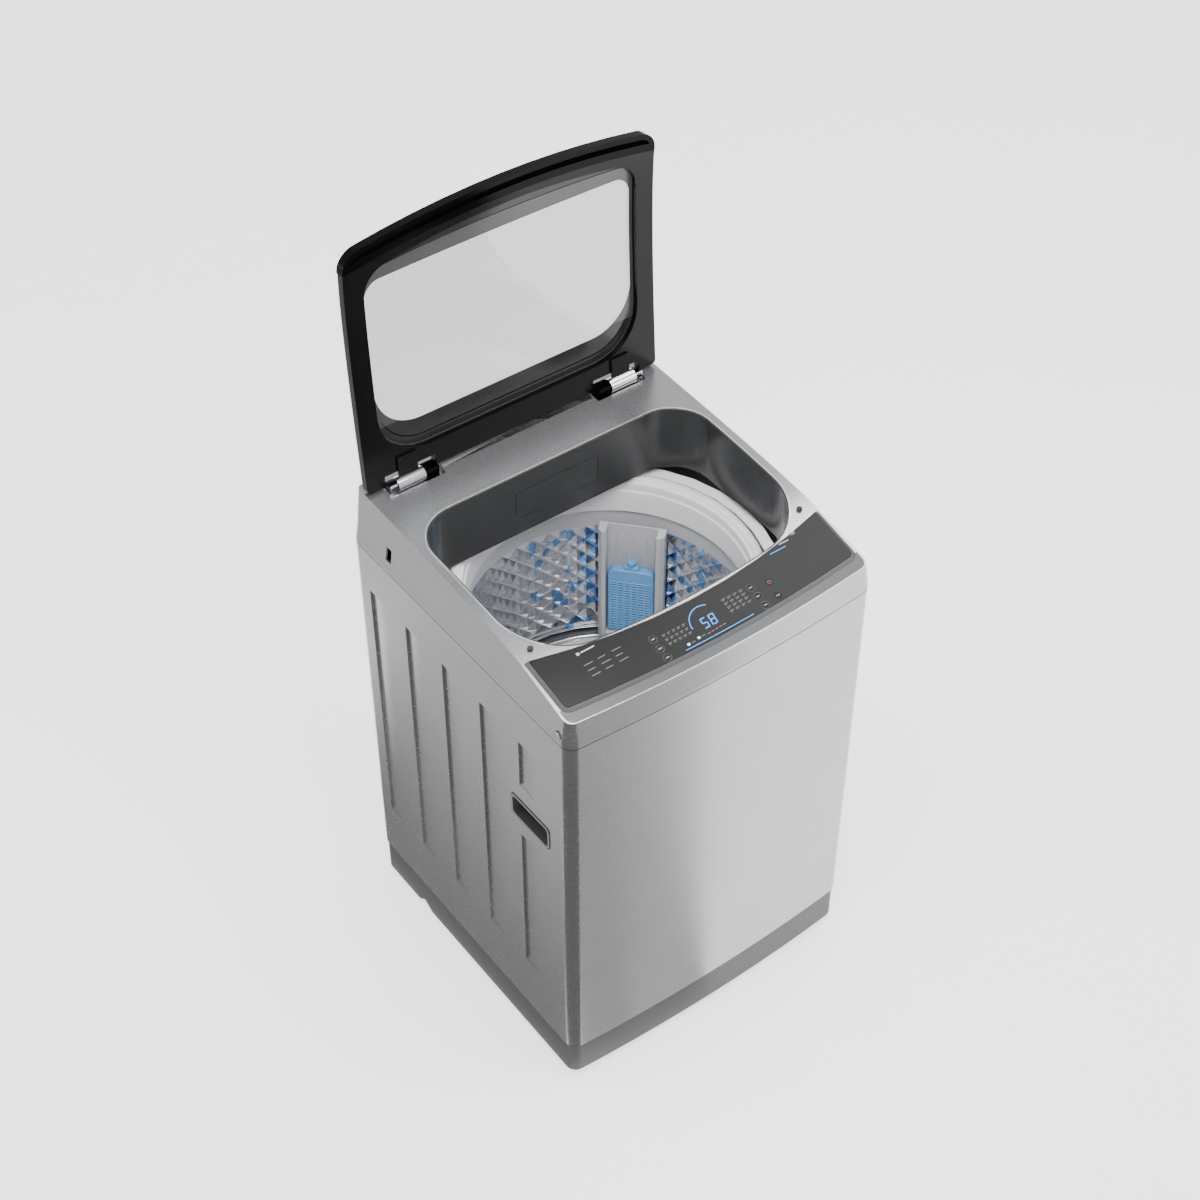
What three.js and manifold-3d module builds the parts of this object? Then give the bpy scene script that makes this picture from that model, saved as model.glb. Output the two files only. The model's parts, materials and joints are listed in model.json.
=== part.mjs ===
// Top load washing machine, standing on its feet with the lid open.
// Millimetres, +Z up, front towards -Y, +X to the right of a person facing it.
// The origin is on the floor under the middle of the machine.
import * as THREE from 'three';
import { mergeVertices } from 'three/addons/utils/BufferGeometryUtils.js';
import Module from 'manifold-3d';

const wasm = await Module();
wasm.setup();

// ---------------------------------------------------------------- driving dimensions
const WIDTH = 630;            // cabinet, side to side
const DEPTH = 627;            // cabinet, rear face to the front corners
const FRONT_BOW = 13;         // how far the middle of the front bulges past its corners
const CORNER_R = 22;          // upright corners of the cabinet
const SHEET = 1;              // painted steel sheet
const GAP = 0.4;              // assembly gap between touching pieces
const PLASTIC = 3;            // moulded wall

const FOOT_CLEAR = 15;        // floor to the underside of the plinth
const PLINTH_HEIGHT = 77;
const CABINET_HEIGHT = 784;   // steel cabinet, plinth to top cover
const TOP_FRONT_RISE = 50;    // seam to the front lip of the top cover
const PANEL_SLOPE = 0.235;    // rise per length of the control panel
const TOP_INSET = 15;         // how far the top cover draws in on each side

const OPENING_SIDE = 28;      // deck left beside, behind and in front of the mouth
const OPENING_REAR = 144.5;
const OPENING_FORE = 127.5;
const OPENING_BOW = 24;
const COLLAR_WALL = 2.5;

const HINGE_INSET = 51.5;     // lid axis in front of the cabinet's rear face
const HINGE_RISE = 4;         // lid axis above the deck
const LID_SIDE = 13;          // deck showing beside the closed lid
const LID_SHORT = 77.5;       // closed lid stops this far behind the front corners
const LID_BOW = 31;
const LID_LIFT = 6;           // closed lid above the deck
const LID_THICK = 18;
const LID_OPEN_DEG = 96;
const GLASS = 4;

const TUB_CLEAR = 20.5;       // tub wall to the nearest cabinet face
const TUB_FLOOR = 415;
const TUB_BELOW_SEAM = 40;
const RING_CLEAR = 21;        // balance ring inside the tub
const RING_HEIGHT = 70;
const BASKET_CLEAR = 37;      // basket wall inside the tub
const BASKET_FLOOR = TUB_FLOOR + 43;
const PULSATOR_CLEAR = 56;    // pulsator inside the basket
const SHAFT_R = 6;
const BASKET_SHAFT_R = 12;
const ROUND = 32;             // sides of the large round pieces
const RUNNING = 0.5;          // radial clearance round a turning shaft

const DRIVE_PULLEY_R = 90;
const MOTOR_PULLEY_R = 22;
const MOTOR_X = -165;
const BELT_Z = 205;
const BELT_WIDE = 12;
const BELT_THICK = 4;

const ROD_R = 3;
const ROD_INSET = 56;         // rod axis inside the cabinet's side and end faces
const FOOT_R = 23;
const FOOT_INSET = 46;
const THREAD_R = 5;

const KEY_R = 6;
const KEY_HOLE_GAP = 0.5;
const FILTER_ANGLE = 42;      // degrees from +X, in the basket

// ---------------------------------------------------------------- worked out from them
const PLINTH_TOP = FOOT_CLEAR + PLINTH_HEIGHT;
const SEAM_Z = PLINTH_TOP + CABINET_HEIGHT;
const FRONT_Y = -DEPTH / 2;
const BACK_Y = DEPTH / 2;
const ROD_X = WIDTH / 2 - ROD_INSET;
const ROD_Y = DEPTH / 2 - ROD_INSET;
const FOOT_X = WIDTH / 2 - FOOT_INSET;
const FOOT_Y = DEPTH / 2 - FOOT_INSET;
const TUB_R = Math.min(WIDTH, DEPTH) / 2 - TUB_CLEAR;
const TUB_TOP = SEAM_Z - TUB_BELOW_SEAM;
const RING_R = TUB_R - RING_CLEAR;
const RING_TOP = TUB_TOP + 10;
const BASKET_R = TUB_R - BASKET_CLEAR;
const PULSATOR_R = BASKET_R - PULSATOR_CLEAR;
const OPENING_HALF = WIDTH / 2 - OPENING_SIDE;
const OPENING_BACK = BACK_Y - OPENING_REAR;
const OPENING_FRONT = FRONT_Y + OPENING_FORE;
const HINGE_Y = BACK_Y - HINGE_INSET;
const LID_HALF = WIDTH / 2 - LID_SIDE;
const LID_REACH = HINGE_Y - FRONT_Y - LID_SHORT;   // lid axis to the front of the lid
const LIP_Z = SEAM_Z + TOP_FRONT_RISE;
const RIM_Y = FRONT_Y + 128;                       // where the flat panel slope ends
const RIM_Z = LIP_Z + PANEL_SLOPE * (RIM_Y - FRONT_Y);
const CREST = new THREE.Vector2(FRONT_Y + 226, RIM_Z + PANEL_SLOPE * 98);
const BACK_Z = CREST.y + 12;
const PANEL_TILT = Math.atan(PANEL_SLOPE);

const COLOURS = {
  painted_steel: [0xb9babc, 0.42, 0.55],
  silver_plastic: [0xb4b5b7, 0.4, 0.3],
  dark_plastic: [0x5f6062, 0.55, 0],
  gloss_grey: [0x3f4042, 0.18, 0],
  black_plastic: [0x101011, 0.25, 0],
  smoked_film: [0x434446, 0.12, 0],
  key_film: [0x38393b, 0.3, 0],
  glass: [0xc9cccd, 0.05, 0],
  chrome: [0xd9dadc, 0.12, 1],
  stainless: [0xb9babd, 0.25, 1],
  ring_plastic: [0xd4d4d6, 0.35, 0],
  clear_plastic: [0xc6c6c8, 0.2, 0],
  filter_blue: [0x5b93c8, 0.4, 0],
  white_plastic: [0xe4e4e2, 0.5, 0],
  zinc_steel: [0xa6a8aa, 0.4, 1],
  cast_alloy: [0x9fa1a3, 0.5, 1],
  rubber: [0x232324, 0.8, 0],
  circuit_board: [0x2f6a45, 0.5, 0],
};

const materials = {};
for (const [name, [color, roughness, metalness]] of Object.entries(COLOURS)) {
  materials[name] = new THREE.MeshStandardMaterial({ color, roughness, metalness, name });
}

// ---------------------------------------------------------------- solids
function solid(geometry) {
  const bare = geometry.clone();
  bare.deleteAttribute('normal');
  bare.deleteAttribute('uv');
  const merged = mergeVertices(bare, 1e-4);
  return new wasm.Manifold(new wasm.Mesh({
    numProp: 3,
    vertProperties: new Float32Array(merged.attributes.position.array),
    triVerts: new Uint32Array(merged.index.array),
  }));
}

// a closed outline of [a, b] points, pushed from low to high along an axis
function prism(points, low, high, axis = 'z') {
  const shape = new THREE.Shape(points.map(([a, b]) => new THREE.Vector2(a, b)));
  const geometry = new THREE.ExtrudeGeometry(shape, { depth: high - low, bevelEnabled: false });
  geometry.translate(0, 0, low);
  const turn = new THREE.Matrix4();
  if (axis === 'x') turn.makeBasis(
    new THREE.Vector3(0, 1, 0), new THREE.Vector3(0, 0, 1), new THREE.Vector3(1, 0, 0));
  if (axis === 'y') turn.makeBasis(
    new THREE.Vector3(0, 0, 1), new THREE.Vector3(1, 0, 0), new THREE.Vector3(0, 1, 0));
  return solid(geometry.applyMatrix4(turn));
}

function block([x0, y0, z0], [x1, y1, z1]) {
  const geometry = new THREE.BoxGeometry(x1 - x0, y1 - y0, z1 - z0);
  geometry.translate((x0 + x1) / 2, (y0 + y1) / 2, (z0 + z1) / 2);
  return solid(geometry);
}

// a round bar from low to high along an axis, through a point in the other two
function bar(radius, low, high, at = [0, 0], axis = 'z', sides = 20) {
  const ring = [];
  for (let i = 0; i < sides; i += 1) {
    const angle = (2 * Math.PI * i) / sides;
    ring.push([at[0] + radius * Math.cos(angle), at[1] + radius * Math.sin(angle)]);
  }
  return prism(ring, low, high, axis);
}

// a profile of [radius, height] points turned about the z axis
function turned(profile, sides = 48) {
  const closed = [...profile, profile[0]].map(([r, z]) => new THREE.Vector2(r, z));
  const geometry = new THREE.LatheGeometry(closed, sides);
  geometry.rotateX(Math.PI / 2);
  let made = solid(geometry);
  if (made.volume() < 0) made = solid(flipped(geometry));
  return made;
}

function flipped(geometry) {
  const index = geometry.index.array;
  for (let i = 0; i < index.length; i += 3) [index[i], index[i + 1]] = [index[i + 1], index[i]];
  return geometry;
}

// two outlines with the same number of points, one above the other
function loft(loops) {
  const count = loops[0].points.length;
  const vertices = loops.flatMap(({ points, z }) => points.map(([x, y]) => [x, y, z]));
  const faces = [];
  const cap = THREE.ShapeUtils.triangulateShape(
    loops[0].points.map(([x, y]) => new THREE.Vector2(x, y)), []);
  const top = (loops.length - 1) * count;
  for (const [a, b, c] of cap) faces.push([a, c, b], [top + a, top + b, top + c]);
  for (let level = 0; level < loops.length - 1; level += 1) {
    for (let i = 0; i < count; i += 1) {
      const a = level * count + i;
      const b = level * count + (i + 1) % count;
      faces.push([a, b, b + count], [a, b + count, a + count]);
    }
  }
  return polyhedron(vertices, faces);
}

function polyhedron(vertices, faces) {
  const geometry = new THREE.BufferGeometry();
  geometry.setAttribute('position', new THREE.Float32BufferAttribute(vertices.flat(), 3));
  geometry.setIndex(faces.flat());
  return solid(geometry);
}

// ---------------------------------------------------------------- outlines seen from above
// A box with round corners whose front and back edges may both bulge towards -Y.
function outline({
  half, front, back, frontR, backR, frontBow = 0, backBow = 0, corner = 5, edge = 10,
}) {
  const points = [];
  const arc = (cx, cy, radius, from) => {
    for (let i = 0; i <= corner; i += 1) {
      const angle = from + (Math.PI / 2) * (i / corner);
      points.push([cx + radius * Math.cos(angle), cy + radius * Math.sin(angle)]);
    }
  };
  const straight = (x0, x1, y) => {
    for (let i = 1; i < edge; i += 1) points.push([x0 + (x1 - x0) * (i / edge), y]);
  };
  arc(half - frontR, front + frontR, frontR, -Math.PI / 2);
  arc(half - backR, back - backR, backR, 0);
  if (backBow) straight(half - backR, -half + backR, back);
  arc(-half + backR, back - backR, backR, Math.PI / 2);
  arc(-half + frontR, front + frontR, frontR, Math.PI);
  if (frontBow) straight(-half + frontR, half - frontR, front);
  const middle = (front + back) / 2;
  return points.map(([x, y]) => {
    const bow = y < middle ? frontBow : backBow;
    return [x, y - bow * (1 - (x / half) ** 2)];
  });
}

const cabinetOutline = (inset = 0) => outline({
  half: WIDTH / 2 - inset,
  front: FRONT_Y + inset,
  back: BACK_Y - inset,
  frontR: Math.max(CORNER_R - inset, 4),
  backR: Math.max(CORNER_R - inset, 4),
  frontBow: FRONT_BOW,
});

const openingOutline = (inset = 0) => outline({
  half: OPENING_HALF - inset,
  front: OPENING_FRONT + inset,
  back: OPENING_BACK - inset,
  frontR: 105 - inset,
  backR: 80 - inset,
  frontBow: OPENING_BOW,
  corner: 8,
});

const PANEL_HALF = WIDTH / 2 - 21;
const PANEL_FRONT = FRONT_Y + 32.5;
const PANEL_FRONT_BOW = 14.5;
const PANEL_BACK = OPENING_FRONT + 4.5;
const PANEL_BACK_BOW = OPENING_BOW + 11.7;
const panelOutline = (grow = 0) => outline({
  half: PANEL_HALF + grow,
  front: PANEL_FRONT - grow,
  back: PANEL_BACK + Math.min(grow, 1.2),
  frontR: 8 + Math.max(grow, -4),
  backR: 1.5,
  frontBow: PANEL_FRONT_BOW,
  backBow: PANEL_BACK_BOW,
  corner: 3,
  edge: 8,
});

// ---------------------------------------------------------------- the deck's side profile
// Height of the top of the machine: straight over the panel, then a long easy crown.
function deckProfile() {
  const points = [[FRONT_Y - 40, LIP_Z - 40 * PANEL_SLOPE], [RIM_Y, RIM_Z]];
  const crown = new THREE.QuadraticBezierCurve(
    new THREE.Vector2(RIM_Y, RIM_Z), CREST, new THREE.Vector2(BACK_Y, BACK_Z));
  for (const { x, y } of crown.getPoints(9).slice(1)) points.push([x, y]);
  const slope = (BACK_Z - CREST.y) / (BACK_Y - CREST.x);
  points.push([BACK_Y + 40, BACK_Z + 40 * slope]);
  return points;
}

function deckZ(y) {
  const points = deckProfile();
  const next = points.findIndex(([at]) => at >= y);
  const [y0, z0] = points[Math.max(next - 1, 0)];
  const [y1, z1] = points[Math.max(next, 1)];
  return z0 + ((z1 - z0) * (y - y0)) / (y1 - y0);
}

// everything between two heights measured from the deck, or below one of them
function deckLayer(low, high) {
  const profile = deckProfile();
  const upper = profile.map(([y, z]) => [y, z + high]).reverse();
  const lower = profile.map(([y, z]) => [y, z + low]);
  return prism([...lower, ...upper], -WIDTH, WIDTH, 'x');
}

const DEEP = 600;
const belowDeck = (high) => deckLayer(-DEEP, high);

// ---------------------------------------------------------------- assembly
const machine = new THREE.Group();
machine.name = 'top_load_washing_machine';

function place(name, shape, material, parent = machine) {
  const { numProp, vertProperties, triVerts } = shape.getMesh();
  const geometry = new THREE.BufferGeometry();
  const positions = [];
  for (let i = 0; i < vertProperties.length; i += numProp) {
    positions.push(vertProperties[i], vertProperties[i + 1], vertProperties[i + 2]);
  }
  geometry.setAttribute('position', new THREE.Float32BufferAttribute(positions, 3));
  geometry.setIndex([...triVerts]);
  geometry.computeVertexNormals();
  const mesh = new THREE.Mesh(geometry, materials[material]);
  mesh.name = name;
  parent.add(mesh);
  return mesh;
}

const bothSides = [['left', -1], ['right', 1]];
const fourCorners = [
  ['front_left', -1, -1], ['front_right', 1, -1], ['rear_left', -1, 1], ['rear_right', 1, 1],
];

// ---------------------------------------------------------------- cabinet
const GROOVE_WIDE = 57;
const GROOVE_DEEP = 5;
const GROOVE_PITCH = 110.5;
const GROOVE_FIRST = BACK_Y - 48;     // steep rear edge of the rearmost groove
const GROOVE_LOW = PLINTH_TOP + 122;
const GROOVE_HIGH = PLINTH_TOP + 696;
const GROOVE_END = 12;
const GROOVE_COUNT = 5;

const HANDLE_Y = FRONT_Y + 108;
const HANDLE_Z = PLINTH_TOP + 527;
const HANDLE_HALF_LONG = 52;
const HANDLE_HALF_TALL = 23;
const HANDLE_DEEP = 28;
const HANDLE_MARGIN = 36;             // plain sheet above and below the handle

const FLANGE = 35;                    // cabinet sheet turned in along the rear
const GUSSET = 134;                   // corner plate that a suspension rod hangs from
const GUSSET_Z = SEAM_Z - 14;
const REAR_HALF = WIDTH / 2 - CORNER_R - 2;

// a wedge pressed into the side sheet: nothing at its front, deepest at its rear edge
function groove(side, rear, low, high, grow) {
  const outer = side * (WIDTH / 2 + 1);
  const deep = side * (WIDTH / 2 - GROOVE_DEEP - grow);
  const front = rear - GROOVE_WIDE - grow;
  const back = rear + grow;
  const z0 = low - grow;
  const z1 = high + grow;
  const corners = [
    [outer, front, z0], [outer, back, z0], [outer, back, z1], [outer, front, z1],
    [deep, back, z0 + GROOVE_END], [deep, back, z1 - GROOVE_END],
  ];
  const faces = [
    [0, 3, 2], [0, 2, 1], [1, 2, 5], [1, 5, 4], [0, 4, 5], [0, 5, 3], [0, 1, 4], [3, 5, 2],
  ];
  return polyhedron(corners, side < 0 ? faces : faces.map(([a, b, c]) => [a, c, b]));
}

function grooves(grow) {
  const cuts = [];
  for (const [, side] of bothSides) {
    for (let i = 0; i < GROOVE_COUNT; i += 1) {
      const rear = GROOVE_FIRST - i * GROOVE_PITCH;
      const overHandle = i === GROOVE_COUNT - 1;
      if (overHandle) {
        const below = HANDLE_Z - HANDLE_HALF_TALL - HANDLE_MARGIN;
        const above = HANDLE_Z + HANDLE_HALF_TALL + HANDLE_MARGIN;
        cuts.push(groove(side, rear, GROOVE_LOW, below, grow));
        cuts.push(groove(side, rear, above, GROOVE_HIGH, grow));
      } else {
        cuts.push(groove(side, rear, GROOVE_LOW, GROOVE_HIGH, grow));
      }
    }
  }
  return cuts.reduce((all, cut) => all.add(cut));
}

function handleOutline(grow = 0) {
  return outline({
    half: HANDLE_HALF_LONG + grow,
    front: -HANDLE_HALF_TALL - grow,
    back: HANDLE_HALF_TALL + grow,
    frontR: 8,
    backR: 8,
    corner: 3,
  }).map(([y, z]) => [y + HANDLE_Y, z + HANDLE_Z]);
}

function cabinetShell() {
  const low = PLINTH_TOP + GAP;
  const high = SEAM_Z - GAP;
  const outside = prism(cabinetOutline(), low, high).subtract(grooves(0));
  const inside = prism(cabinetOutline(SHEET), low - 1, high + 1).subtract(grooves(SHEET));
  let shell = outside.subtract(inside);
  const wide = WIDTH / 2 - FLANGE;
  shell = shell.subtract(block([-wide, BACK_Y - 9, low - 1], [wide, BACK_Y + 1, high + 1]));
  const plate = prism(cabinetOutline(SHEET / 2), GUSSET_Z, GUSSET_Z + 2);
  for (const [, sx, sy] of fourCorners) {
    const cx = sx * WIDTH / 2;
    const cy = sy * DEPTH / 2;
    const corner = [[cx, cy], [cx - sx * GUSSET, cy], [cx, cy - sy * GUSSET]];
    const triangle = prism(sx * sy > 0 ? corner : corner.reverse(), GUSSET_Z - 1, GUSSET_Z + 3);
    const away = block([-REAR_HALF - 2, BACK_Y - 4 * SHEET, 0], [REAR_HALF + 2, BACK_Y + 1, SEAM_Z]);
    shell = shell.add(plate.intersect(triangle).subtract(away));
    shell = shell.subtract(bar(ROD_R + 1, GUSSET_Z - 5, GUSSET_Z + 5, [sx * ROD_X, sy * ROD_Y]));
  }
  const slot = prism(handleOutline(GAP), -WIDTH, WIDTH, 'x');
  return shell.subtract(slot);
}
place('cabinet_shell', cabinetShell(), 'painted_steel');

const CORD_X = 190;
const CORD_Z = PLINTH_TOP + 60;
const CORD_R = 11;
const DRAIN_X = -170;
const DRAIN_Z = PLINTH_TOP + 55;
const DRAIN_R = 15;

function rearPanel() {
  const outer = BACK_Y - SHEET - GAP;
  const low = [-REAR_HALF, outer - SHEET, PLINTH_TOP + GAP];
  const shell = block(low, [REAR_HALF, outer, SEAM_Z - 16]);
  const cord = bar(CORD_R, outer - 9, outer + 9, [CORD_Z, CORD_X], 'y');
  const drain = bar(DRAIN_R + 2, outer - 9, outer + 9, [DRAIN_Z, DRAIN_X], 'y');
  return shell.subtract(cord).subtract(drain);
}
place('rear_panel', rearPanel(), 'zinc_steel');

function cordGland() {
  const outer = BACK_Y - SHEET - GAP;
  const at = [CORD_Z, CORD_X];
  const flange = bar(CORD_R + 5, outer + GAP, outer + 5, at, 'y');
  const neck = bar(CORD_R - GAP, outer - SHEET - 8, outer + 1, at, 'y');
  const bore = bar(4.5, outer - 40, outer + 40, at, 'y', 12);
  return flange.add(neck).subtract(bore);
}
place('cord_gland', cordGland(), 'rubber');

function handleCup(side) {
  const face = WIDTH / 2;
  const cup = prism(handleOutline(6), face - SHEET - GAP - 2, face - SHEET - GAP, 'x');
  const body = prism(handleOutline(-1), face - HANDLE_DEEP - 2, face + 0.6, 'x');
  const hollow = prism(handleOutline(-3), face - HANDLE_DEEP, face + 5, 'x');
  const lip = prism(handleOutline(3), face + GAP, face + 1.6, 'x');
  const made = cup.add(body).add(lip).subtract(hollow);
  return side > 0 ? made : made.mirror([1, 0, 0]);
}
for (const [name, side] of bothSides) place(`handle_cup_${name}`, handleCup(side), 'silver_plastic');

// ---------------------------------------------------------------- plinth and feet
const PLINTH_INSET = 3;
const BOSS_R = 30;
const FOOT_RETRACT = 10;
const NOTCH_Y = BACK_Y - 163.5;       // cable notch in the plinth's lower edge
const NOTCH_WIDE = 40;
const NOTCH_TALL = 15;

function baseFrame() {
  const top = PLINTH_TOP;
  const wall = prism(cabinetOutline(PLINTH_INSET), FOOT_CLEAR, top)
    .subtract(prism(cabinetOutline(PLINTH_INSET + PLASTIC), FOOT_CLEAR - 1, top + 1));
  const shelf = prism(cabinetOutline(PLINTH_INSET + 1), top - 4, top)
    .subtract(prism(cabinetOutline(PLINTH_INSET + 38), top - 9, top + 9));
  let frame = wall.add(shelf);
  const inside = prism(cabinetOutline(PLINTH_INSET + 1), FOOT_CLEAR + 2, top);
  for (const [, sx, sy] of fourCorners) {
    const at = [sx * FOOT_X, sy * FOOT_Y];
    frame = frame.add(bar(BOSS_R, FOOT_CLEAR + 2, top, at, 'z', 16).intersect(inside));
  }
  for (const [, sx, sy] of fourCorners) {
    const at = [sx * FOOT_X, sy * FOOT_Y];
    frame = frame.subtract(bar(FOOT_R + 2, 0, FOOT_CLEAR + FOOT_RETRACT, at, 'z', 16));
    frame = frame.subtract(bar(THREAD_R + RUNNING, 0, top + 9, at, 'z', 10));
  }
  const notch = prism([
    [NOTCH_Y, 0], [NOTCH_Y + NOTCH_WIDE, 0], [NOTCH_Y + NOTCH_WIDE, FOOT_CLEAR + 1],
    [NOTCH_Y + NOTCH_WIDE * 0.6, FOOT_CLEAR + NOTCH_TALL], [NOTCH_Y, FOOT_CLEAR + 1],
  ], -WIDTH, WIDTH, 'x');
  return frame.subtract(notch);
}
place('base_frame', baseFrame(), 'dark_plastic');

function foot() {
  const pad = turned([
    [0, 0], [FOOT_R - 2, 0], [FOOT_R, 2.5], [FOOT_R, 10], [FOOT_R - 6, 13], [THREAD_R, 13],
    [THREAD_R, FOOT_CLEAR + 60], [0, FOOT_CLEAR + 60],
  ], 14);
  return pad;
}
for (const [name, sx, sy] of fourCorners) {
  place(`foot_${name}`, foot(), 'rubber').position.set(sx * FOOT_X, sy * FOOT_Y, 0);
}

// ---------------------------------------------------------------- top cover
const HINGE_Z = deckZ(HINGE_Y) + HINGE_RISE;
const BARREL_R = 13;
const BARREL_IN = 195;
const BARREL_OUT = 249;
const BRACKET_WIDE = 14;
const SOCKET_IN = 168;
const PANEL_SEAT = 4;               // ledge of the cover under the control panel's edge
const INLET_X = -150;
const INLET_Z = SEAM_Z + 52;
const INLET_R = 13;
const SIDE_HOLE_Y = BACK_Y - 115;

function coverBody(inset, drop) {
  const body = loft([
    { points: cabinetOutline(inset), z: SEAM_Z - 10 },
    { points: cabinetOutline(inset), z: SEAM_Z + 8 },
    { points: cabinetOutline(inset + 5), z: SEAM_Z + TOP_FRONT_RISE * 0.75 },
    { points: cabinetOutline(inset + TOP_INSET), z: BACK_Z + 20 },
  ]);
  return body.intersect(belowDeck(-drop));
}

function topCover() {
  const floor = block([-WIDTH, -DEPTH, 0], [WIDTH, DEPTH, SEAM_Z]);
  let cover = coverBody(0, 0).subtract(floor).subtract(coverBody(PLASTIC, PLASTIC));
  cover = cover.subtract(prism(openingOutline(), SEAM_Z - 60, BACK_Z + 60));
  cover = cover.subtract(prism(panelOutline(-PANEL_SEAT), LIP_Z - 40, RIM_Z + 60));
  const pockets = [];
  const pocketFloor = HINGE_Z - BARREL_R - 3;
  for (const [, side] of bothSides) {
    const x0 = side * (SOCKET_IN - 8);
    const x1 = side * (BARREL_OUT + BRACKET_WIDE + 4);
    pockets.push([Math.min(x0, x1), Math.max(x0, x1)]);
  }
  for (const [x0, x1] of pockets) {
    const low = [x0 - 2, HINGE_Y - 21, pocketFloor - 2];
    const high = [x1 + 2, HINGE_Y + 21, BACK_Z + 60];
    cover = cover.add(block(low, high).intersect(coverBody(1, 1)));
  }
  const troughX = SOCKET_IN - 12;
  cover = cover.add(block([-troughX - 2, HINGE_Y - 8, pocketFloor - 2],
    [troughX + 2, HINGE_Y + 28, BACK_Z + 60]).intersect(coverBody(1, 1)));
  for (const [x0, x1] of pockets) {
    cover = cover.subtract(block([x0, HINGE_Y - 19, pocketFloor], [x1, HINGE_Y + 19, BACK_Z + 60]));
  }
  cover = cover.subtract(block([-troughX, HINGE_Y - 6, pocketFloor],
    [troughX, HINGE_Y + 26, BACK_Z + 60]));
  cover = cover.subtract(bar(INLET_R + 1, BACK_Y - 40, BACK_Y + 40, [INLET_Z, INLET_X], 'y'));
  const hole = block([-WIDTH, SIDE_HOLE_Y - 8, SEAM_Z + 24], [WIDTH, SIDE_HOLE_Y + 8, SEAM_Z + 52]);
  return cover.subtract(hole);
}
place('top_cover', topCover(), 'silver_plastic');

// ---------------------------------------------------------------- collar and dispenser
const COLLAR_LOW = RING_TOP + 9;
const DRAWER_X = 14;
const DRAWER_HALF = 86;
const DRAWER_LOW = SEAM_Z + 15;
const DRAWER_TALL = 56;
const DRAWER_DEEP = 78;
const DRAWER_GAP = 1;

function collar() {
  const outer = prism(openingOutline(GAP), COLLAR_LOW, BACK_Z + 20);
  const inner = prism(openingOutline(GAP + COLLAR_WALL), COLLAR_LOW - 9, BACK_Z + 40);
  const wall = outer.subtract(inner).intersect(belowDeck(-0.6));
  const front = block(
    [DRAWER_X - DRAWER_HALF - DRAWER_GAP, OPENING_BACK - 20, DRAWER_LOW - DRAWER_GAP],
    [DRAWER_X + DRAWER_HALF + DRAWER_GAP, OPENING_BACK + 9, DRAWER_LOW + DRAWER_TALL + DRAWER_GAP]);
  return wall.subtract(front);
}
place('collar', collar(), 'gloss_grey');

const HOUSING_WALL = 2.5;
function dispenserHousing() {
  const clear = DRAWER_GAP + HOUSING_WALL;
  const front = OPENING_BACK + GAP;
  const back = front + DRAWER_DEEP + 6;
  const outer = block(
    [DRAWER_X - DRAWER_HALF - clear, front, DRAWER_LOW - clear],
    [DRAWER_X + DRAWER_HALF + clear, back, DRAWER_LOW + DRAWER_TALL + clear]);
  const inner = block(
    [DRAWER_X - DRAWER_HALF - DRAWER_GAP, front - 9, DRAWER_LOW - DRAWER_GAP],
    [DRAWER_X + DRAWER_HALF + DRAWER_GAP, back - HOUSING_WALL, DRAWER_LOW + DRAWER_TALL + DRAWER_GAP]);
  const outlet = bar(9, DRAWER_LOW - 20, DRAWER_LOW + 2, [DRAWER_X, back - 20], 'z', 12);
  const feed = bar(8, back - 9, back + 9, [DRAWER_LOW + DRAWER_TALL - 6, DRAWER_X], 'y', 12);
  return outer.subtract(inner).subtract(outlet).subtract(feed);
}
place('dispenser_housing', dispenserHousing(), 'white_plastic');

function dispenserDrawer() {
  const face = OPENING_BACK - GAP - COLLAR_WALL;
  const front = block(
    [DRAWER_X - DRAWER_HALF, face, DRAWER_LOW],
    [DRAWER_X + DRAWER_HALF, face + 3, DRAWER_LOW + DRAWER_TALL]);
  const side = DRAWER_HALF - 2;
  const tall = DRAWER_TALL - 10;
  let tray = block([DRAWER_X - side, face + 2, DRAWER_LOW + 1],
    [DRAWER_X + side, face + DRAWER_DEEP, DRAWER_LOW + tall]);
  const split = DRAWER_X + 22;
  const cells = [[DRAWER_X - side + 2, split - 1], [split + 1, DRAWER_X + side - 2]];
  for (const [x0, x1] of cells) {
    tray = tray.subtract(block([x0, face + 4, DRAWER_LOW + 3],
      [x1, face + DRAWER_DEEP - 2, DRAWER_LOW + DRAWER_TALL]));
  }
  return front.add(tray);
}
place('dispenser_drawer', dispenserDrawer(), 'gloss_grey');

function inletValve() {
  const at = [INLET_Z, INLET_X];
  const tip = -cabinetTip();
  const stub = bar(INLET_R - 1, BACK_Y - 30, tip, at, 'y');
  const nut = bar(INLET_R + 4, BACK_Y - 30, BACK_Y - 14, at, 'y', 6);
  const coil = block([INLET_X - 19, BACK_Y - 68, INLET_Z - 20], [INLET_X + 19, BACK_Y - 28, INLET_Z + 20]);
  const bore = bar(8, BACK_Y - 10, tip + 9, at, 'y', 12);
  return stub.add(nut).add(coil).subtract(bore);
}
// the foremost point of the bowed front
function cabinetTip() {
  return FRONT_Y - FRONT_BOW;
}
place('inlet_valve', inletValve(), 'white_plastic');

// ---------------------------------------------------------------- control panel
// The panel is flat, so its pieces are made level and tilted together about the lip.
const panel = new THREE.Group();
panel.position.set(0, FRONT_Y, LIP_Z);
panel.rotation.x = PANEL_TILT;
machine.add(panel);

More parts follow.
